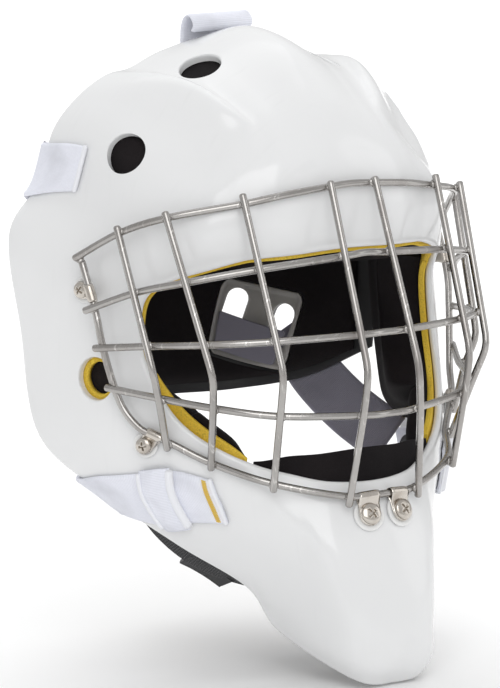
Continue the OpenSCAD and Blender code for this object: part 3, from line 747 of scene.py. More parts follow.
def zinc_finish():
    look = Finish("Zinc nut", (0.45, 0.46, 0.48), 0.4, 1.0)
    grain = look.use("grain", Scale=1200.0, Drift=200.0)
    look.tint(grain.outputs["Tone"], (0.30, 0.31, 0.32), 0.4, 0.7)
    look.rough(grain.outputs["Height"], 0.3, 0.55)
    look.bump(grain.outputs["Height"], 0.00008, 0.5)
    return look.material


def plastic_finish(name, color, roughness, grain_depth=0.0001, light=None):
    look = Finish(name, color, roughness)
    grain = look.use("grain", Scale=1500.0, Drift=60.0)
    wear = look.use("wear", Scale=120.0, Edge=0.9)
    look.tint(grain.outputs["Tone"], shade(color, 0.85), 0.4, 0.75)
    look.tint(wear.outputs["Edges"], light or shade(color, 1.6))
    look.rough(wear.outputs["Scuffs"], roughness, roughness + 0.2)
    look.bump(grain.outputs["Height"], grain_depth, 0.6)
    return look.material


def foam_finish(name, color, dark, sheen=0.0):
    look = Finish(name, color, 0.82, Sheen_Weight=sheen, Sheen_Roughness=0.5, Specular_IOR_Level=0.22)
    cells = look.use("grain", Scale=1700.0, Drift=35.0)
    wear = look.use("wear", Scale=90.0, Edge=0.7)
    look.tint(cells.outputs["Tone"], dark, 0.35, 0.8)
    look.tint(cells.outputs["Speckle"], shade(color, 0.6), 0.45, 0.9)
    look.tint(wear.outputs["Edges"], shade(color, 1.35))
    look.rough(cells.outputs["Tone"], 0.7, 0.92)
    look.bump(cells.outputs["Speckle"], 0.00018, 0.7)
    return look.material


def weave_finish(name, color, ribs, weft, depth=0.00018, sheen=0.25):
    look = Finish(name, color, 0.78, uv=True, Sheen_Weight=sheen, Sheen_Roughness=0.4)
    weave = look.use("weave", Ribs=ribs, Weft=weft)
    soil = look.use("grain", Scale=60.0, Drift=40.0)
    # Painted highlight on the cord crests and painted shade in the grooves, mixed with random fuzz tone
    look.tint(weave.outputs["Painted Rib Light And Fuzz"], shade(color, 1.22), 0.1, 0.75)
    look.tint(soil.outputs["Tone"], shade(color, 0.86), 0.5, 0.85)
    look.rough(weave.outputs["Painted Rib Light And Fuzz"], 0.88, 0.66)
    look.bump(weave.outputs["Height"], depth, 0.9)
    return look.material


def cloth_finish(name, color):
    look = Finish(name, color, 0.9, Sheen_Weight=0.4, Sheen_Roughness=0.45)
    pile = look.use("grain", Scale=2600.0, Drift=60.0)
    look.tint(pile.outputs["Tone"], shade(color, 0.6), 0.35, 0.7)
    look.tint(pile.outputs["Speckle"], shade(color, 1.7), 0.0, 0.6)
    look.rough(pile.outputs["Tone"], 0.8, 0.98)
    look.bump(pile.outputs["Height"], 0.00025, 0.8)
    return look.material


MATERIALS = {}


def finish(slot):
    """The material of a slot, made once."""
    sizes = bpy.context.scene.goalie_mask
    white, grey = tuple(sizes.straps.white), tuple(sizes.straps.grey)
    makers = {
        "white_shell": lambda: shell_finish(sizes),
        "cage_steel": lambda: wire_finish(sizes),
        "nickel": lambda: nickel_finish(sizes),
        "zinc": zinc_finish,
        "white_plastic": lambda: plastic_finish(
            "Clear white washer", (0.80, 0.80, 0.79), 0.3, 0.00004, (0.9, 0.9, 0.9)),
        "yellow_foam": lambda: foam_finish("Yellow foam", tuple(sizes.foam.yellow), (0.60, 0.37, 0.025)),
        "black_foam": lambda: foam_finish("Black foam", tuple(sizes.foam.black), (0.004, 0.003, 0.004), 0.02),
        "black_cloth": lambda: cloth_finish("Brushed sweatband cloth", (0.016, 0.013, 0.015)),
        "white_elastic": lambda: weave_finish("White elastic", white, 5200.0, 3600.0, 0.00012),
        "grey_elastic": lambda: weave_finish("Slate elastic", grey, 4200.0, 3000.0),
        "black_webbing": lambda: weave_finish("Black webbing", (0.018, 0.018, 0.02), 2600.0, 2200.0, 0.0003),
        "black_plastic": lambda: plastic_finish("Black plastic", (0.018, 0.018, 0.02), 0.42),
        "grey_plastic": lambda: plastic_finish("Grey plastic", (0.36, 0.345, 0.33), 0.42),
        "chin_cup": lambda: plastic_finish("Soft chin cup", (0.014, 0.014, 0.015), 0.6, 0.00015),
        "thread": lambda: weave_finish("Yellow thread", (0.75, 0.52, 0.10), 9000.0, 6000.0),
        "piping": lambda: weave_finish("White binding", (0.80, 0.81, 0.85), 6000.0, 5200.0, 0.0001),
    }
    if slot not in MATERIALS:
        MATERIALS[slot] = makers[slot]()
    return MATERIALS[slot]


def place(obj, body, slot, *nodes, material=None, padded=None):
    """Gives a piece the finish of its slot or material, parents it to its body and hides the imported parts
    of the nodes it stands for; a blended piece has no body.
    """
    obj.data.materials.clear()
    obj.data.materials.append(finish(material or slot))
    if body is not None:
        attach(obj, body)
    if nodes:
        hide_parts(*nodes)


# ---- Shell ----
def shell_surface(sizes):
    """Points of the whole shell: columns round the opening, each a closed section of the wall."""
    wall, step = sizes.thickness, 0.05
    u = np.arange(2 * LAST * sizes.columns) / sizes.columns
    edge = wall / 2
    first = edge / np.linalg.norm(skin(u, step) - skin(u, 0.0), axis=1) * step
    final = ROWS - edge / np.linalg.norm(skin(u, ROWS) - skin(u, ROWS - step), axis=1) * step
    s = np.linspace(0, 1, ROWS * sizes.rows + 1)
    v = first[:, None] + (final - first)[:, None] * s[None]
    uu = np.broadcast_to(u[:, None], v.shape)
    normal = skin_normal(uu, v)
    outer = skin(uu, v)
    inner = outer - wall * normal

    def lip(j, out):
        middle = (outer[:, j] + inner[:, j]) / 2
        turn = np.linspace(0, math.pi, 9)[1:-1]
        return np.stack([middle + edge * (math.cos(a) * normal[:, j] + math.sin(a) * out) for a in turn], 1)

    rim_way = unit(outer[:, -1] - outer[:, -2])
    opening_way = unit(outer[:, 0] - outer[:, 1])
    return np.concatenate([outer, lip(-1, rim_way), inner[:, ::-1], lip(0, opening_way)[:, ::-1]], 1)


def hole_cutter(name, size, labels=("ear", "temple", "crown")):
    """Cutters for the labelled holes on both sides, flared where they meet the skin."""
    flare = 0.0016
    turn = np.linspace(0, math.pi / 2, 6)
    profile = [(size / 2, -0.012)]
    profile += [(size / 2 + flare * (1 - math.cos(a)), -flare + flare * math.sin(a) + 0.0002) for a in turn]
    profile += [(size / 2 + flare, 0.012)]
    parts = []
    for u, v in (HOLES[label] for label in labels):
        for side in (1, -1):
            flip = (side, 1, 1)
            parts.append(lathe(profile, 72, skin(u, v) * flip, skin_normal(u, v) * flip))
    return many(name, parts)


def cut(obj, cutter):
    """Takes a cutter's volume out of a mesh and deletes the cutter."""
    modifier = obj.modifiers.new("Cut", "BOOLEAN")
    modifier.operation = "DIFFERENCE"
    modifier.solver = "EXACT"
    modifier.object = cutter
    apply_modifiers(obj)
    bpy.data.objects.remove(cutter)
    return obj


class GOALIE_OT_shell(bpy.types.Operator):
    """Build the moulded shell with its ear holes and vents"""
    bl_idname = "goalie.shell"
    bl_label = "Shell"

    def execute(self, context):
        sizes = context.scene.goalie_mask.shell
        points = shell_surface(sizes)
        faces = grid_faces(*points.shape[:2], ring_u=True, ring_v=True)
        shell = add_mesh("mask_shell", points.reshape(-1, 3), faces)
        fix_normals(shell)
        cut(shell, hole_cutter("hole_cutter", sizes.vent))
        shell.data.shade_smooth()
        shell.data.set_sharp_from_angle(angle=math.radians(38))
        place(shell, SHELL, "white_shell", "shell")
        return {"FINISHED"}


# ---- Cage ----
def rounded_route(route, radius, cuts=6):
    """Straight runs through route with each corner turned at radius."""
    p = np.asarray(route, float) * MM
    out = [p[0]]
    for a, b, c in zip(p[:-2], p[1:-1], p[2:]):
        back, ahead = unit(a - b), unit(c - b)
        reach = min(radius, np.linalg.norm(a - b) / 3, np.linalg.norm(c - b) / 3)
        start, stop = b + back * reach, b + ahead * reach
        for t in np.linspace(0, 1, cuts):
            out.append((1 - t) ** 2 * start + 2 * t * (1 - t) * b + t ** 2 * stop)
    out.append(p[-1])
    return np.array(out)


def cage_paths():
    """Every wire of the cage as points: bars, uprights and the perimeter wire."""
    bars = [smooth_path(whole(bar) * MM, 140) for bar in BARS]
    uprights = []
    for route in UPRIGHTS:
        path = rounded_route(route, CORNER_RADIUS)
        uprights += [path, mirrored(path)]
    return bars, uprights, smooth_path(whole(RIM_WIRE) * MM, 300)


def refine(path, gap=0.002):
    """The path with its points at most a gap apart."""
    steps = np.linalg.norm(np.diff(path, axis=0), axis=1)
    at = np.concatenate([[0], np.cumsum(steps)])
    fine = np.linspace(0, at[-1], int(at[-1] / gap) + 2)
    return np.stack([np.interp(fine, at, path[:, k]) for k in range(3)], 1)


def crossings(paths_a, paths_b, reach):
    """Pairs of nearest points where a wire of the first list meets one of the second."""
    found = []
    for a in paths_a:
        for b in paths_b:
            fa, fb = refine(a), refine(b)
            gaps = np.linalg.norm(fa[:, None] - fb[None], axis=2)
            i, j = np.unravel_index(gaps.argmin(), gaps.shape)
            if gaps[i, j] < reach:
                found.append((fa[i], fb[j], unit(fa[min(i + 2, len(fa) - 1)] - fa[max(i - 2, 0)])))
    return found


def bead(place_a, place_b, way, radius, rng):
    """Points and faces of the small fillet of weld metal between two crossing wires."""
    middle = (place_a + place_b) / 2
    z = unit(place_b - place_a)
    x = unit(way - (way @ z) * z)
    y = np.cross(z, x)
    stretch = rng.uniform(0.85, 1.15, 3) * (1.45, 1.25, 0.75)
    rings, sides = 10, 18
    points = []
    for i in range(1, rings):
        a = math.pi * i / rings
        for k in range(sides):
            b = 2 * math.pi * k / sides
            lump = radius * (1 + 0.07 * math.sin(3 * b + stretch[0] * 9) * math.sin(2 * a))
            share = stretch * (math.sin(a) * math.cos(b), math.sin(a) * math.sin(b), math.cos(a))
            points.append(middle + lump * (share[0] * x + share[1] * y + share[2] * z))
    return points, closed_faces(rings - 1, sides)


class GOALIE_OT_cage(bpy.types.Operator):
    """Build the welded wire cage: perimeter wire, bars, uprights and weld beads"""
    bl_idname = "goalie.cage"
    bl_label = "Cage"

    def execute(self, context):
        sizes = context.scene.goalie_mask.cage
        radius = sizes.wire / 2
        bars, uprights, rim = cage_paths()
        for name, paths, node_name in (
                ("cage_horizontal_wires", bars, "cage_horizontal_bars"),
                ("cage_vertical_wires", [refine(path, 0.004) for path in uprights], "cage_vertical_bars"),
                ("cage_rim_wire", [rim], "cage_perimeter_wire")):
            wires = many(name, [tube(path, radius, sizes.sides) for path in paths])
            place(wires, SHELL, "cage_steel", node_name)
        rng = np.random.default_rng(7)
        middle = len(rim) // 2
        met = crossings(bars, uprights, WELD_REACH)
        met += crossings(bars + uprights, [rim, rim[:middle], rim[middle:]], WELD_REACH)
        beads = many("cage_weld_beads", [bead(a, b, way, radius * 0.95, rng) for a, b, way in met])
        place(beads, SHELL, "cage_steel")
        return {"FINISHED"}


# ---- Clips and fasteners ----
class ClipFrame:
    """Place and directions of one clip: z out of the shell, x along the tab to the wire."""

    def __init__(self, clip, side):
        u, v, w, width, head, washer = clip
        self.width, self.head, self.washer = width * MM, head * MM, washer * MM
        flip = np.array((side, 1, 1))
        rim = np.asarray(RIM_WIRE, float) * MM
        wire, wire_way = along(rim, w), along(rim, w + 0.05) - along(rim, w - 0.05)
        self.z = skin_normal(u, v) * flip
        self.origin = skin(u, v) * flip
        self.wire = wire * flip
        x = np.cross(unit(wire_way * flip), self.z)
        self.x = unit(x * math.copysign(1, (self.wire - self.origin) @ x))
        self.y = np.cross(self.z, self.x)
        far = self.wire - self.origin
        self.reach, self.slide, self.rise = far @ self.x, far @ self.y, far @ self.z

    def at(self, x, y, z):
        """Point at x, y and z in the clip's own directions."""
        parts = ((x, self.x), (y, self.y), (z, self.z))
        return self.origin + sum(np.multiply.outer(far, way) for far, way in parts)


def clip_strip(name, clip, thickness, wire_r):
    """Folded metal strip: two layers under the screw and one turn round the wire."""
    turn_r = wire_r + thickness * 0.6
    low, high = TAB_BASE + thickness * 0.55, TAB_BASE + thickness * 1.65
    centre = np.array((clip.reach, clip.rise))

    def touch(start, way):
        to = centre - start
        gap = np.linalg.norm(to)
        lean = math.asin(min(1, turn_r / gap))
        base = math.atan2(to[1], to[0]) + way * lean
        run = math.sqrt(max(gap**2 - turn_r**2, 0))
        return start + run * np.array((math.cos(base), math.sin(base)))

    bend = max(clip.reach - turn_r - 0.0022, clip.head / 2 * 0.9)
    upper, lower = np.array((bend, high)), np.array((bend, low))
    on, off = touch(upper, 1), touch(lower, -1)
    a0 = math.atan2(*(on - centre)[::-1])
    a1 = math.atan2(*(off - centre)[::-1])
    while a1 > a0:
        a1 -= 2 * math.pi
    arc = [centre + turn_r * np.array((math.cos(a), math.sin(a))) for a in np.linspace(a0, a1, 28)]
    end = clip.width / 2
    flat = [-end * math.cos(a) for a in np.linspace(0.05, math.pi / 2, 9)]
    path = np.array([*((x, high) for x in flat), upper, *arc, lower, *((x, low) for x in flat[::-1])])
    half = np.sqrt(np.clip(end**2 - np.minimum(path[:, 0], 0) ** 2, 1e-8, None))
    slide = np.clip(path[:, 0] / max(clip.reach, 1e-6), 0, 1) * clip.slide
    a = np.linspace(-1, 1, 9)
    middle = clip.at(np.broadcast_to(path[:, :1], (len(path), 9)), slide[:, None] + half[:, None] * a[None],
                     np.broadcast_to(path[:, 1:], (len(path), 9)))
    return ribbon(name, middle, thickness / 2, 0.0)


def screw_head(clip, base, height):
    """Points and faces of a truss head with a cross recess, on top of base."""
    rings, sides = 26, 72
    radius, turn = clip.head / 2, 0.6
    cross_length, cross_width = 0.46 * radius, 0.105 * radius
    points = []
    for i in range(rings + 1):
        r = radius * math.sin(math.pi / 2 * i / rings)
        for k in range(sides):
            a = 2 * math.pi * k / sides
            x, y = r * math.cos(a), r * math.sin(a)
            z = height * (0.28 + 0.72 * math.sqrt(max(0, 1 - (r / radius) ** 2.2)))
            cx = abs(x * math.cos(turn) + y * math.sin(turn))
            cy = abs(y * math.cos(turn) - x * math.sin(turn))
            arm = min(max(cx / cross_length, cy / cross_width), max(cy / cross_length, cx / cross_width))
            z -= height * 0.75 * min(1, max(0, (1.25 - arm) / 0.4))
            points.append(clip.at(x, y, base + z))
    for k in range(sides):
        a = 2 * math.pi * k / sides
        points.append(clip.at(radius * math.cos(a), radius * math.sin(a), base))
    faces = grid_faces(rings + 2, sides, ring_v=True)
    return points, faces + [tuple((rings + 1) * sides + k for k in range(sides))[::-1]]


def washer_profile(radius):
    """Section of a washer with a rounded upper edge."""
    hole, edge = 0.0027, 0.0005
    turn_at = TAB_BASE - 2 * edge
    profile = [(hole, GAP), (radius - edge, GAP), (radius, GAP + edge), (radius, turn_at)]
    profile += [(radius - edge * (1 - math.cos(a)), turn_at + 2 * edge * math.sin(a))
                for a in (0.5, 1.0, 1.57)]
    return profile + [(radius - 0.0012, TAB_BASE - 0.0001), (hole, TAB_BASE - 0.0002), (hole, GAP)]


class GOALIE_OT_clips(bpy.types.Operator):
    """Build the six cage clips with their washers, screws and nuts"""
    bl_idname = "goalie.clips"
    bl_label = "Clips and fasteners"

    def execute(self, context):
        sizes = context.scene.goalie_mask.cage
        wall = context.scene.goalie_mask.shell.thickness
        top, low = TAB_BASE + CLIP_METAL * 2.3, -wall - 0.0004
        shank = [(0.0025, -wall - NUT_T - 0.0007), (0.0025, top), (0.002, top + 0.0003)]
        hexagon = [(0.0026, low), (0.0047, low), (0.0052, low - 0.0004), (0.0052, low - NUT_T + 0.0004),
                   (0.0047, low - NUT_T), (0.0026, low - NUT_T), (0.0026, low)]
        washers, screws, nuts = [], [], []
        for label, clip in CLIPS.items():
            strips = []
            for side in (1, -1):
                clip_at = ClipFrame(clip, side)
                centre = clip_at.origin, clip_at.z
                strips.append(clip_strip(f"clip_{label}_{side}", clip_at, CLIP_METAL, sizes.wire / 2))
                washers.append(lathe(washer_profile(clip_at.washer / 2), 64, *centre))
                screws += [screw_head(clip_at, top, HEAD_H), lathe(shank, 24, *centre)]
                nuts.append(lathe(hexagon, 6, *centre))
            node_name = "chin_clips" if label == "chin" else f"{label}_side_clips"
            place(join(f"cage_clips_{label}", strips), SHELL, "nickel", node_name)
        place(many("cage_washers", washers), SHELL, "white_plastic", "clip_washers")
        place(many("cage_screws", screws), SHELL, "nickel", "clip_screws")
        nut_set = many("cage_nuts", nuts)
        nut_set.data.set_sharp_from_angle(angle=math.radians(25))
        place(nut_set, SHELL, "zinc", "clip_nuts")
        return {"FINISHED"}


# ---- Liner ----
FLAT_EDGE = (0, 0, 1)


def layer_places(us, vs, s, t, bulge):
    """Skin places of a layer at shares s and t of its size; bulge holds how many rows its edge at the
    opening swells by, the u of its middle and the reach over which it comes back."""
    size, centre, reach = bulge
    u = us[0] + (us[1] - us[0]) * s
    start = vs[0] - size * np.maximum(0, 1 - ((u - centre) / reach) ** 2)
    return u, start + (vs[1] - start) * t


def foam_sheet(name, us, vs, depth, thickness, grid, bulge=FLAT_EDGE):
    """Die-cut foam layer that follows the skin."""
    s, t = np.meshgrid(*(np.linspace(0, 1, n) for n in grid), indexing="ij")
    u, v = layer_places(us, vs, s, t, bulge)
    obj = slab(name, below_skin(u, v, depth), below_skin(u, v, depth + thickness))
    soften(obj, SHEET_EDGE)
    return obj


def foam_pad(name, us, vs, depth, thickness, grid, bulge=FLAT_EDGE, grooves=()):
    """Crowned pad inside the skin; grooves are (across, place, half width) in shares of its size."""
    s, t = np.meshgrid(*(np.linspace(0, 1, n) for n in grid), indexing="ij")
    s, t = (1 - np.cos(math.pi * s)) / 2, (1 - np.cos(math.pi * t)) / 2
    u, v = layer_places(us, vs, s, t, bulge)
    crown = (1 - np.abs(2 * s - 1) ** 7) * (1 - np.abs(2 * t - 1) ** 7)
    high = thickness * (0.34 + 0.66 * np.sqrt(np.clip(crown, 0, 1)))
    for across, where, half in grooves:
        high = high - thickness * 0.34 * np.exp(-(((s if across else t) - where) / half) ** 2)
    obj = slab(name, below_skin(u, v, depth), below_skin(u, v, depth + high))
    soften(obj, PAD_EDGE)
    return obj


def mirror_copy(obj, name):
    """Mirror image of a mesh object across the middle plane."""
    copy = obj.copy()
    copy.data = obj.data.copy()
    copy.name = copy.data.name = name
    bpy.context.scene.collection.objects.link(copy)
    count = len(copy.data.vertices)
    points = np.zeros(count * 3)
    copy.data.vertices.foreach_get("co", points)
    copy.data.vertices.foreach_set("co", (points.reshape(-1, 3) * (-1, 1, 1)).ravel())
    copy.data.flip_normals()
    return copy


def both(obj, stem, body, slot, node_stem=None, padded=None, material=None):
    """Places a left piece and its mirror image as two named pieces."""
    obj.name = obj.data.name = f"{stem}_left"
    pair = obj, mirror_copy(obj, f"{stem}_right")
    for piece, side in zip(pair, ("left", "right")):
        nodes = [f"{node_stem}_{side}"] if node_stem else []
        place(piece, body, slot, *nodes, material=material, padded=padded)
    return pair


def swell(obj, cap, voxel):
    """Inflates a closed pad with cloth and pressure, moving no point further than cap."""
    remesh = obj.modifiers.new("Remesh", "REMESH")
    remesh.mode = "VOXEL"
    remesh.voxel_size = voxel
    apply_modifiers(obj)
    count = len(obj.data.vertices)
    before = np.zeros(count * 3)
    obj.data.vertices.foreach_get("co", before)
    cloth = obj.modifiers.new("Cloth", "CLOTH")
    cloth.settings.use_pressure = True
    cloth.settings.uniform_pressure_force = 4
    cloth.settings.effector_weights.gravity = 0
    for number in range(1, 21):
        bpy.context.scene.frame_set(number)
    apply_modifiers(obj)
    bpy.context.scene.frame_set(1)
    after = np.zeros(count * 3)
    obj.data.vertices.foreach_get("co", after)
    move = (after - before).reshape(-1, 3)
    far = np.linalg.norm(move, axis=1, keepdims=True)
    move *= np.minimum(1, cap / np.maximum(far, 1e-9))
    obj.data.vertices.foreach_set("co", (before.reshape(-1, 3) + move).ravel())
    smooth = obj.modifiers.new("Smooth", "SUBSURF")
    smooth.levels = 1
    apply_modifiers(obj)
    obj.data.shade_smooth()
    return obj


class GOALIE_OT_liner(bpy.types.Operator):
    """Build the yellow outer foam, the black pads and the sweatband"""
    bl_idname = "goalie.liner"
    bl_label = "Liner"

    def execute(self, context):
        foam, shell = context.scene.goalie_mask.foam, context.scene.goalie_mask.shell
        outer = shell.thickness + GAP
        inner = outer + foam.outer + GAP
        black = (SHELL, "black_foam")

        brow = foam_sheet("liner_brow", (-6, 6), (-0.1, 2.4), outer, foam.outer, (150, 24))
        place(brow, SHELL, "yellow_foam", "brow_liner")
        cheek = foam_sheet("liner_cheek", (6.08, 11.6), (-0.08, 3.9), outer, foam.outer, (110, 50),
                           (0.3, 9.9, 1.9))
        cut(cheek, hole_cutter("liner_ear", shell.vent - EAR_TRIM, ("ear",)))
        both(cheek, "liner_cheek", SHELL, "yellow_foam", "cheek_liner")

        forehead = foam_pad("pad_forehead", (-4.4, 4.4), (-0.06, 2.3), inner + GAP / 2, foam.forehead,
                            (120, 32), (0.3, 0, 4.4))
        place(forehead, *black, "forehead_pad", padded=0.8)
        band_depth = inner + foam.forehead + 2 * GAP + 0.0004
        band = foam_pad("pad_sweatband", (-3.5, 3.5), (0.56, 1.84), band_depth, 0.0022, (90, 16))
        swell(band, cap=0.0012, voxel=0.003)
        place(band, SHELL, "black_cloth", "sweatband", padded=0.5)
        crown = foam_pad("pad_crown", (-3.2, 3.2), (3.2, 6.6), outer + GAP, foam.pad, (90, 60),
                         grooves=((True, 0.33, 0.015), (True, 0.67, 0.015), (False, 0.5, 0.02)))
        place(crown, *black, "crown_pad", padded=0.7)
        temple = foam_pad("pad_temple", (4.0, 5.6), (2.6, 6.6), outer + GAP, foam.pad, (36, 50),
                          grooves=((False, 0.45, 0.02),))
        both(temple, "pad_temple", *black, "temple_pad", 0.7)
        cheek_pad = foam_pad("pad_cheek", (6.3, 9.575), (0.2, 3.85), inner, foam.cheek, (70, 50),
                             (0.75, 9.9, 1.5))
        both(cheek_pad, "pad_cheek", *black, "cheek_pad", 0.8)
        jaw = foam_pad("pad_jaw", (9.6, 11.6), (0.1, 2.4), inner, foam.pad, (44, 36), (0.75, 9.9, 1.9))
        both(jaw, "pad_jaw", *black, "jaw_pad", 0.8)
        chin = foam_pad("pad_chin", (11.8, 18.2), (-0.05, 2.2), outer, foam.pad, (110, 32), (0.95, 15, 3.3))
        place(chin, *black, "chin_pad", padded=0.8)
        return {"FINISHED"}


# ---- Straps on the shell ----
def edge_place(edges, t, s):
    """Skin place at a share t along the two edges of a band and a share s across them."""
    t, s = np.asarray(t, float), np.asarray(s, float)[..., None]
    at = t * (len(edges[0]) - 1)
    return (1 - s) * along(edges[0], at) + s * along(edges[1], at)


def band_grid(edges, ts, ss, height):
    """Middle points of a band on the skin; ts below 0 carry on round the rim to the inside."""
    wall = bpy.context.scene.goalie_mask.shell.thickness
    grid = []
    for t in ts:
        where = edge_place(edges, np.full(len(ss), max(t, 0.0)), ss)
        u, v = where[:, 0], np.minimum(ROWS, where[:, 1])
        normal = skin_normal(u, v)
        if t >= 0:
            grid.append(skin(u, v) + height * normal)
            continue
        out = unit(skin(u, np.full_like(v, ROWS)) - skin(u, np.full_like(v, ROWS - 0.1)))
        edge = skin(u, np.full_like(v, ROWS)) - wall / 2 * normal
        turn, back = min(1.0, -t / 0.5) * math.pi, max(0.0, (-t - 0.5) / 0.5)
        r = wall / 2 + height
        grid.append(edge + r * (math.cos(turn) * normal + math.sin(turn) * 0.8 * out) - back * 0.014 * out)
    return np.array(grid)


def bar_tacks(name, edges, t, height, count):
    """Row of short thread stitches across a band."""
    parts = []
    for s in np.linspace(0.06, 0.94, count):
        ends = [edge_place(edges, t + d, s + e) for d, e in ((-0.012, -0.006), (0.012, 0.006))]
        points = [below_skin(p[0], p[1], -height) for p in ends]
        middle = (points[0] + points[1]) / 2 + 0.0003 * skin_normal(*ends[0])
        parts.append(tube(np.array([points[0], middle, points[1]]), 0.00035, 8, 2))
    return many(name, parts)


class GOALIE_OT_straps(bpy.types.Operator):
    """Build the pale elastic straps on the shell with their keepers and stitching"""
    bl_idname = "goalie.straps"
    bl_label = "Shell straps"

    def execute(self, context):
        sizes = context.scene.goalie_mask.straps
        half = sizes.thickness / 2
        white = (SHELL, "white_elastic")
        loop = strip("strap_crown", TOP_ROUTE, (1, 0, 0), sizes.crown_width, sizes.thickness, 90)
        place(loop, *white, "top_strap")
        ss = (1 - np.cos(np.linspace(0, math.pi, 25))) / 2
        for stem, edges, count in (("upper", UPPER_BAND, 36), ("lower", LOWER_BAND, 70)):
            folded = np.concatenate([np.linspace(-1.0, -0.03, 14), np.linspace(0, 1, count)])
            band = ribbon(f"strap_{stem}", band_grid(edges, folded, ss, 0.0006 + half), half)
            both(band, f"strap_{stem}", *white, f"{stem}_strap")
        wide, over = np.linspace(*KEEPER, 20), np.linspace(-0.07, 1.07, 40)
        grid = band_grid(LOWER_BAND, wide, over, 0.001 + sizes.thickness + half)
        keeper = ribbon("strap_keeper", grid.transpose(1, 0, 2), half)
        other = mirror_copy(keeper, "strap_keeper_right")
        place(join("strap_keeper_pair", [keeper, other]), *white, "strap_keepers")
        folds = []
        for edges, t, rise, thick in (
                (UPPER_BAND, 0.985, 0.002, 0.0012), (LOWER_BAND, 0.985, 0.002, 0.0012),
                (LOWER_BAND, KEEPER[0], 0.0042, 0.0012), (LOWER_BAND, KEEPER[1], 0.0042, 0.0022)):
            path = band_grid(edges, [t], np.linspace(0.0, 1.0, 24), rise)[0]
            folds += [tube(path, thick, 14), tube(mirrored(path), thick, 14)]
        place(many("strap_folded_ends", folds), *white, material="piping")
        tacks = bar_tacks("strap_stitches", LOWER_BAND, 0.945, 0.0026, 26)
        both(tacks, "strap_stitches", *white, material="thread")
        return {"FINISHED"}


# ---- Back plate ----
def plate_grid(us, vs, grid):
    """Plate places over a range of columns and rows."""
    return np.meshgrid(np.linspace(*us, grid[0]), np.linspace(*vs, grid[1]), indexing="ij")


def slot_cutter(name):
    """Cutters for the four round-ended strap slots."""
    parts = []
    for u, v in PLATE_SLOTS:
        z = plate_normal(u, v)
        y = unit(np.array((0, 0, 1.0)) - z[2] * z)
        x = np.cross(y, z)
        c, k = math.cos(math.radians(SLOT_TILT)), math.sin(math.radians(SLOT_TILT))
        x, y = c * x + k * y, c * y - k * x
        r, run = SLOT_WIDTH / 2, (SLOT_LENGTH - SLOT_WIDTH) / 2
        arc = np.linspace(-math.pi / 2, math.pi / 2, 18)
        outline = [(run + r * math.cos(a), r * math.sin(a)) for a in arc]
        outline += [(-p, -q) for p, q in outline]
        for side in (1, -1):
            flip = (side, 1, 1)
            points = [(plate_face(u, v) + p * y + q * x + h * z) * flip
                      for h in (-0.02, 0.02) for p, q in outline]
            n = len(outline)
            faces = [(k, (k + 1) % n, n + (k + 1) % n, n + k) for k in range(n)]
            parts.append((points, faces + [tuple(range(n))[::-1], tuple(n + k for k in range(n))]))
    return many(name, parts)


def quad_places(quad, s, t):
    """Plate places at shares s and t between the four corners of a quad."""
    a, b, c, d = (np.asarray(corner, float) for corner in quad)
    s, t = s[..., None], t[..., None]
    return (1 - s) * (1 - t) * a + s * (1 - t) * b + s * t * c + (1 - s) * t * d


def anchor_block(name, margin, depth, thickness, quad=ANCHOR_QUAD, corner=0.3, rim=0.28):
    """Panel on the inner side of the plate with rounded corners and a raised rim."""
    s, t = np.meshgrid(np.linspace(-1, 1, 44), np.linspace(-1, 1, 44), indexing="ij")
    pull = np.sqrt(np.clip(1 - corner * np.clip((np.abs(t) - (1 - corner)) / corner, 0, 1) ** 2, 0, 1))
    place_at = quad_places(quad, 0.5 + s * (0.5 + margin) * pull, 0.5 + t * (0.5 + margin))
    u, v = place_at[..., 0], place_at[..., 1]
    edge = np.maximum(np.abs(s), np.abs(t))
    high = thickness * (1 - rim + rim * np.clip((edge - 0.84) / 0.06, 0, 1))
    return slab(name, plate_in(u, v, depth), plate_in(u, v, depth + high))


REAR_ELASTICS = (  # piece, route, the way its width takes, cuts, node, its fixed end and its end on the plate
    ("elastic_upper", UPPER_REAR_ROUTE, (0.2, -0.35, -0.9), 50, "upper_rear_strap",
     (0.099, 0.020, 0.051), (0.072, 0.028, 0.038)),
    ("elastic_lower", REAR_ROUTE, (0.53, -0.8, 0.2), 60, "rear_strap",
     (0.0885, -0.0285, -0.1055), (0.0735, 0.020, -0.074)),
)


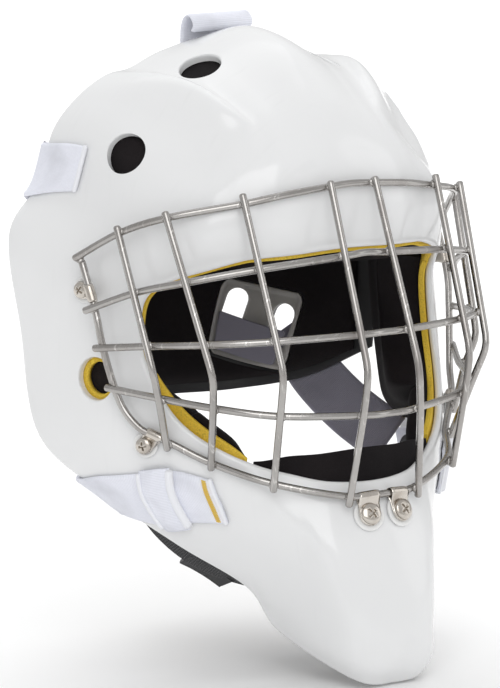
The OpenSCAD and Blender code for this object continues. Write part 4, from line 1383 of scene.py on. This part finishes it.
class GOALIE_OT_backplate(bpy.types.Operator):
    """Build the sprung back plate with its foam, strap anchors and rear elastics"""
    bl_idname = "goalie.backplate"
    bl_label = "Back plate"

    def execute(self, context):
        sizes = context.scene.goalie_mask.straps
        u, v = plate_grid((0, 6), (0, 4), (120, 60))
        plate = slab("plate_moulding", plate_in(u, v, 0), plate_in(u, v, PLATE_T))
        cut(plate, slot_cutter("plate_slots"))
        soften(plate, 0.0007, 45, 40)
        place(plate, PLATE, "black_plastic", "backplate")

        u, v = plate_grid((0.25, 5.75), (0.25, 3.9), (120, 64))
        s, t = (u - 0.25) / 5.5, (v - 0.25) / 3.65
        crown = np.sqrt(np.clip((1 - np.abs(2 * s - 1) ** 10) * (1 - np.abs(2 * t - 1) ** 8), 0, 1))
        depth = PLATE_T + GAP
        high = PLATE_FOAM_T * (0.3 + 0.7 * crown)
        pad = slab("plate_pad", plate_in(u, v, depth), plate_in(u, v, depth + high))
        room = anchor_block("anchor_room", 0.04, PLATE_T - 0.001, PLATE_FOAM_T + 0.006)
        for block in (room, mirror_copy(room, "anchor_room_other")):
            cut(pad, block)
        soften(pad, PAD_EDGE, 60, 50)
        place(pad, PLATE, "black_foam", "backplate_pad", padded=0.8)

        anchor = anchor_block("plate_anchor", 0, PLATE_T + 0.0006, ANCHOR_T)
        pair = join("plate_anchors", [anchor, mirror_copy(anchor, "plate_anchor_other")])
        cut(pair, slot_cutter("anchor_slots"))
        soften(pair, 0.0006, 45, 40)
        place(pair, PLATE, "grey_plastic", "strap_anchors")

        crown_strap = strip("elastic_crown", CROWN_ROUTE, (1, 0, 0), sizes.crown_width, sizes.thickness, 50)
        place(crown_strap, None, "grey_elastic", "crown_elastic")
        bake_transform(crown_strap)
        for stem, route, way, count, node_stem, start, end in REAR_ELASTICS:
            elastic = strip(stem, route, way, sizes.rear_width, sizes.thickness, count)
            pair = both(elastic, stem, None, "grey_elastic", node_stem)
            for piece, side in zip(pair, (1, -1)):
                first, last = (side * start[0], *start[1:]), (side * end[0], *end[1:])
                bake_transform(piece)
                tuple(first)
                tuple(last)
        patch = anchor_block(
            "elastic_patch", 0, PLATE_T + 0.0042, sizes.thickness, ELASTIC_QUAD, corner=0.12, rim=0)
        both(patch, "elastic_patch", PLATE, "grey_elastic")
        return {"FINISHED"}


# ---- Chin sling ----
class GOALIE_OT_sling(bpy.types.Operator):
    """Build the chin sling: strap, cup, hangers, studs and the buckle's tail"""
    bl_idname = "goalie.sling"
    bl_label = "Chin sling"

    def execute(self, context):
        half = np.asarray(SLING_ROUTE, float)
        route = np.concatenate([half, mirrored(half[:-1][::-1])])
        way = (0, 0.87, -0.5)
        webbing = strip("sling_webbing", route, way, SLING_WIDTH, SLING_T, 160, 0.15)
        place(webbing, SLING, "black_webbing", "chin_strap")
        tail = strip("sling_tail", TAIL_ROUTE, way, TAIL_WIDTH, TAIL_T, 40)
        place(tail, SLING, "black_plastic", "chin_buckle")
        ring = [(0.0021, 0), (0.0074, 0), (0.008, 0.0006), (0.008, 0.0014), (0.0074, 0.002), (0.0036, 0.0023),
                (0.0021, 0.002), (0.0021, 0)]
        pin = [(0.002, 0), (0.002, 0.0148), (0.0014, 0.015)]
        cap = [(0.0006, -0.0019), (0.0026, -0.0018), (0.0041, -0.0012), (0.0045, -0.0006), (0.0045, -0.0001),
               (0.0020, 0)]
        axis = np.array(STUD_AXIS) * MM
        discs, studs = [], []
        for side in (1, -1):
            x = (side, 0, 0)
            discs.append(lathe(ring, 48, axis + (side * HUB_X, 0, 0), x))
            start = axis + (side * STUD_X, 0, 0)
            studs += [lathe(pin, 32, start, x), lathe(cap, 48, start, x)]
        place(many("sling_hanger_discs", discs), SLING, "black_plastic", "sling_hangers")
        place(many("sling_studs", studs), SHELL, "nickel", "chin_studs")

        a, b = np.meshgrid(np.linspace(-1, 1, 60), np.linspace(-1, 1, 46), indexing="ij")
        wide = np.sqrt(np.clip(1 - 0.45 * np.abs(b) ** 4, 0, 1))
        x, y = a * 0.027 * wide, b * 0.021
        dish = 0.25 * (x**2 + y**2) / 0.044
        centre, lean = np.array((0, -0.078, -0.158)), math.radians(-28)
        c, k = math.cos(lean), math.sin(lean)
        turn = np.array(((1, 0, 0), (0, c, -k), (0, k, c)))
        low = np.stack([x, y, -0.0078 + 2 * dish], -1) @ turn.T + centre
        crown = np.sqrt(np.clip((1 - np.abs(a) ** 8) * (1 - np.abs(b) ** 8), 0, 1))
        high = low + (0.0012 + 0.0026 * crown)[..., None] * turn[:, 2]
        cup = slab("sling_cup", high, low)
        soften(cup, 0.0006)
        place(cup, SLING, "chin_cup", "chin_cup", padded=0.6)
        return {"FINISHED"}


# ---- Stage ----
def area_light(name, place_at, aim, size, power):
    """White rectangular light that points at aim."""
    data = bpy.data.lights.new(name, "AREA")
    data.shape = "RECTANGLE"
    data.size, data.size_y = size
    data.energy = power
    obj = bpy.data.objects.new(name, data)
    obj.location = place_at
    obj.rotation_euler = (Vector(aim) - Vector(place_at)).to_track_quat("-Z", "Y").to_euler()
    bpy.context.scene.collection.objects.link(obj)
    return obj


class GOALIE_OT_stage(bpy.types.Operator):
    """Set up the camera, the pale floor and the studio lights"""
    bl_idname = "goalie.stage"
    bl_label = "Stage"

    def execute(self, context):
        scene = context.scene
        sizes = scene.goalie_mask.stage
        a, e = sizes.azimuth, sizes.elevation
        back = Vector((math.sin(a) * math.cos(e), -math.cos(a) * math.cos(e), math.sin(e)))
        right = Vector((math.cos(a), math.sin(a), 0))
        up = back.cross(right)
        camera_data = bpy.data.cameras.new("Camera")
        camera_data.lens = sizes.lens
        camera_data.sensor_width = 36
        camera = bpy.data.objects.new("Camera", camera_data)
        camera.location = Vector((0, -0.115, 0.050)) + sizes.distance * back - 0.0523 * right - 0.0806 * up
        camera.rotation_euler = back.to_track_quat("Z", "Y").to_euler()
        scene.collection.objects.link(camera)
        scene.camera = camera

        cells = np.linspace(-FLOOR_HALF, FLOOR_HALF, 33)
        xx, yy = np.meshgrid(cells, cells, indexing="ij")
        points = np.stack([xx, yy, np.full_like(xx, CAD_BOX[0][2] - 0.0002)], -1).reshape(-1, 3)
        floor = add_mesh("stage_floor", points, grid_faces(33, 33))
        paint = Finish("Pale floor", tuple(sizes.floor), 0.7)
        tone = paint.use("grain", Scale=90.0, Drift=1.5)
        paint.tint(tone.outputs["Tone"], shade(paint.color, 0.985), 0.3, 0.8)
        floor.data.materials.append(paint.material)

        area_light("Key", (-1.3, -2.2, 1.5), (0, -0.05, 0), (2.2, 2.2), 27)
        area_light("Fill", (1.7, -1.2, 0.6), (0, -0.05, 0), (1.0, 1.4), 3)
        area_light("Top", (0.2, 0.5, 1.9), (0, -0.02, 0), (1.6, 1.2), 3)
        backdrop = area_light("Backdrop", (1.7, 2.4, 2.4), (1.7, 2.4, -0.2), (4.5, 4.0), 120)
        backdrop.visible_glossy = False
        world = bpy.data.worlds.new("Studio")
        world.use_nodes = True
        set_inputs(world.node_tree.nodes["Background"], Color=(1, 1, 1, 1), Strength=0.62)
        scene.world = world
        scene.view_settings.view_transform = "Standard"
        return {"FINISHED"}


# ---- Panel and registration ----
PIECES = (GOALIE_OT_stage, GOALIE_OT_shell, GOALIE_OT_cage, GOALIE_OT_clips, GOALIE_OT_liner,
          GOALIE_OT_straps, GOALIE_OT_backplate, GOALIE_OT_sling)


class GOALIE_PT_panel(bpy.types.Panel):
    bl_idname = "GOALIE_PT_panel"
    bl_label = "Goalie Mask"
    bl_space_type = "VIEW_3D"
    bl_region_type = "UI"
    bl_category = "Goalie Mask"

    def draw(self, context):
        for group in ("shell", "cage", "foam", "straps", "stage"):
            settings = getattr(context.scene.goalie_mask, group)
            column = self.layout.box().column()
            column.label(text=group.capitalize())
            for name in type(settings).__annotations__:
                column.prop(settings, name)
        for piece in PIECES:
            self.layout.operator(piece.bl_idname)


CLASSES = (ShellSettings, CageSettings, FoamSettings, StrapSettings, StageSettings, MaskSettings, *PIECES,
           GOALIE_PT_panel)


def register():
    for cls in CLASSES:
        bpy.utils.register_class(cls)
    bpy.types.Scene.goalie_mask = PointerProperty(type=MaskSettings)


def unregister():
    del bpy.types.Scene.goalie_mask
    for cls in reversed(CLASSES):
        bpy.utils.unregister_class(cls)


def main():
    register()
    bpy.ops.goalie.stage()
    bpy.ops.goalie.shell()
    bpy.ops.goalie.cage()
    bpy.ops.goalie.clips()
    bpy.ops.goalie.liner()
    bpy.ops.goalie.straps()
    bpy.ops.goalie.backplate()
    bpy.ops.goalie.sling()


if __name__ == "__main__":
    main()
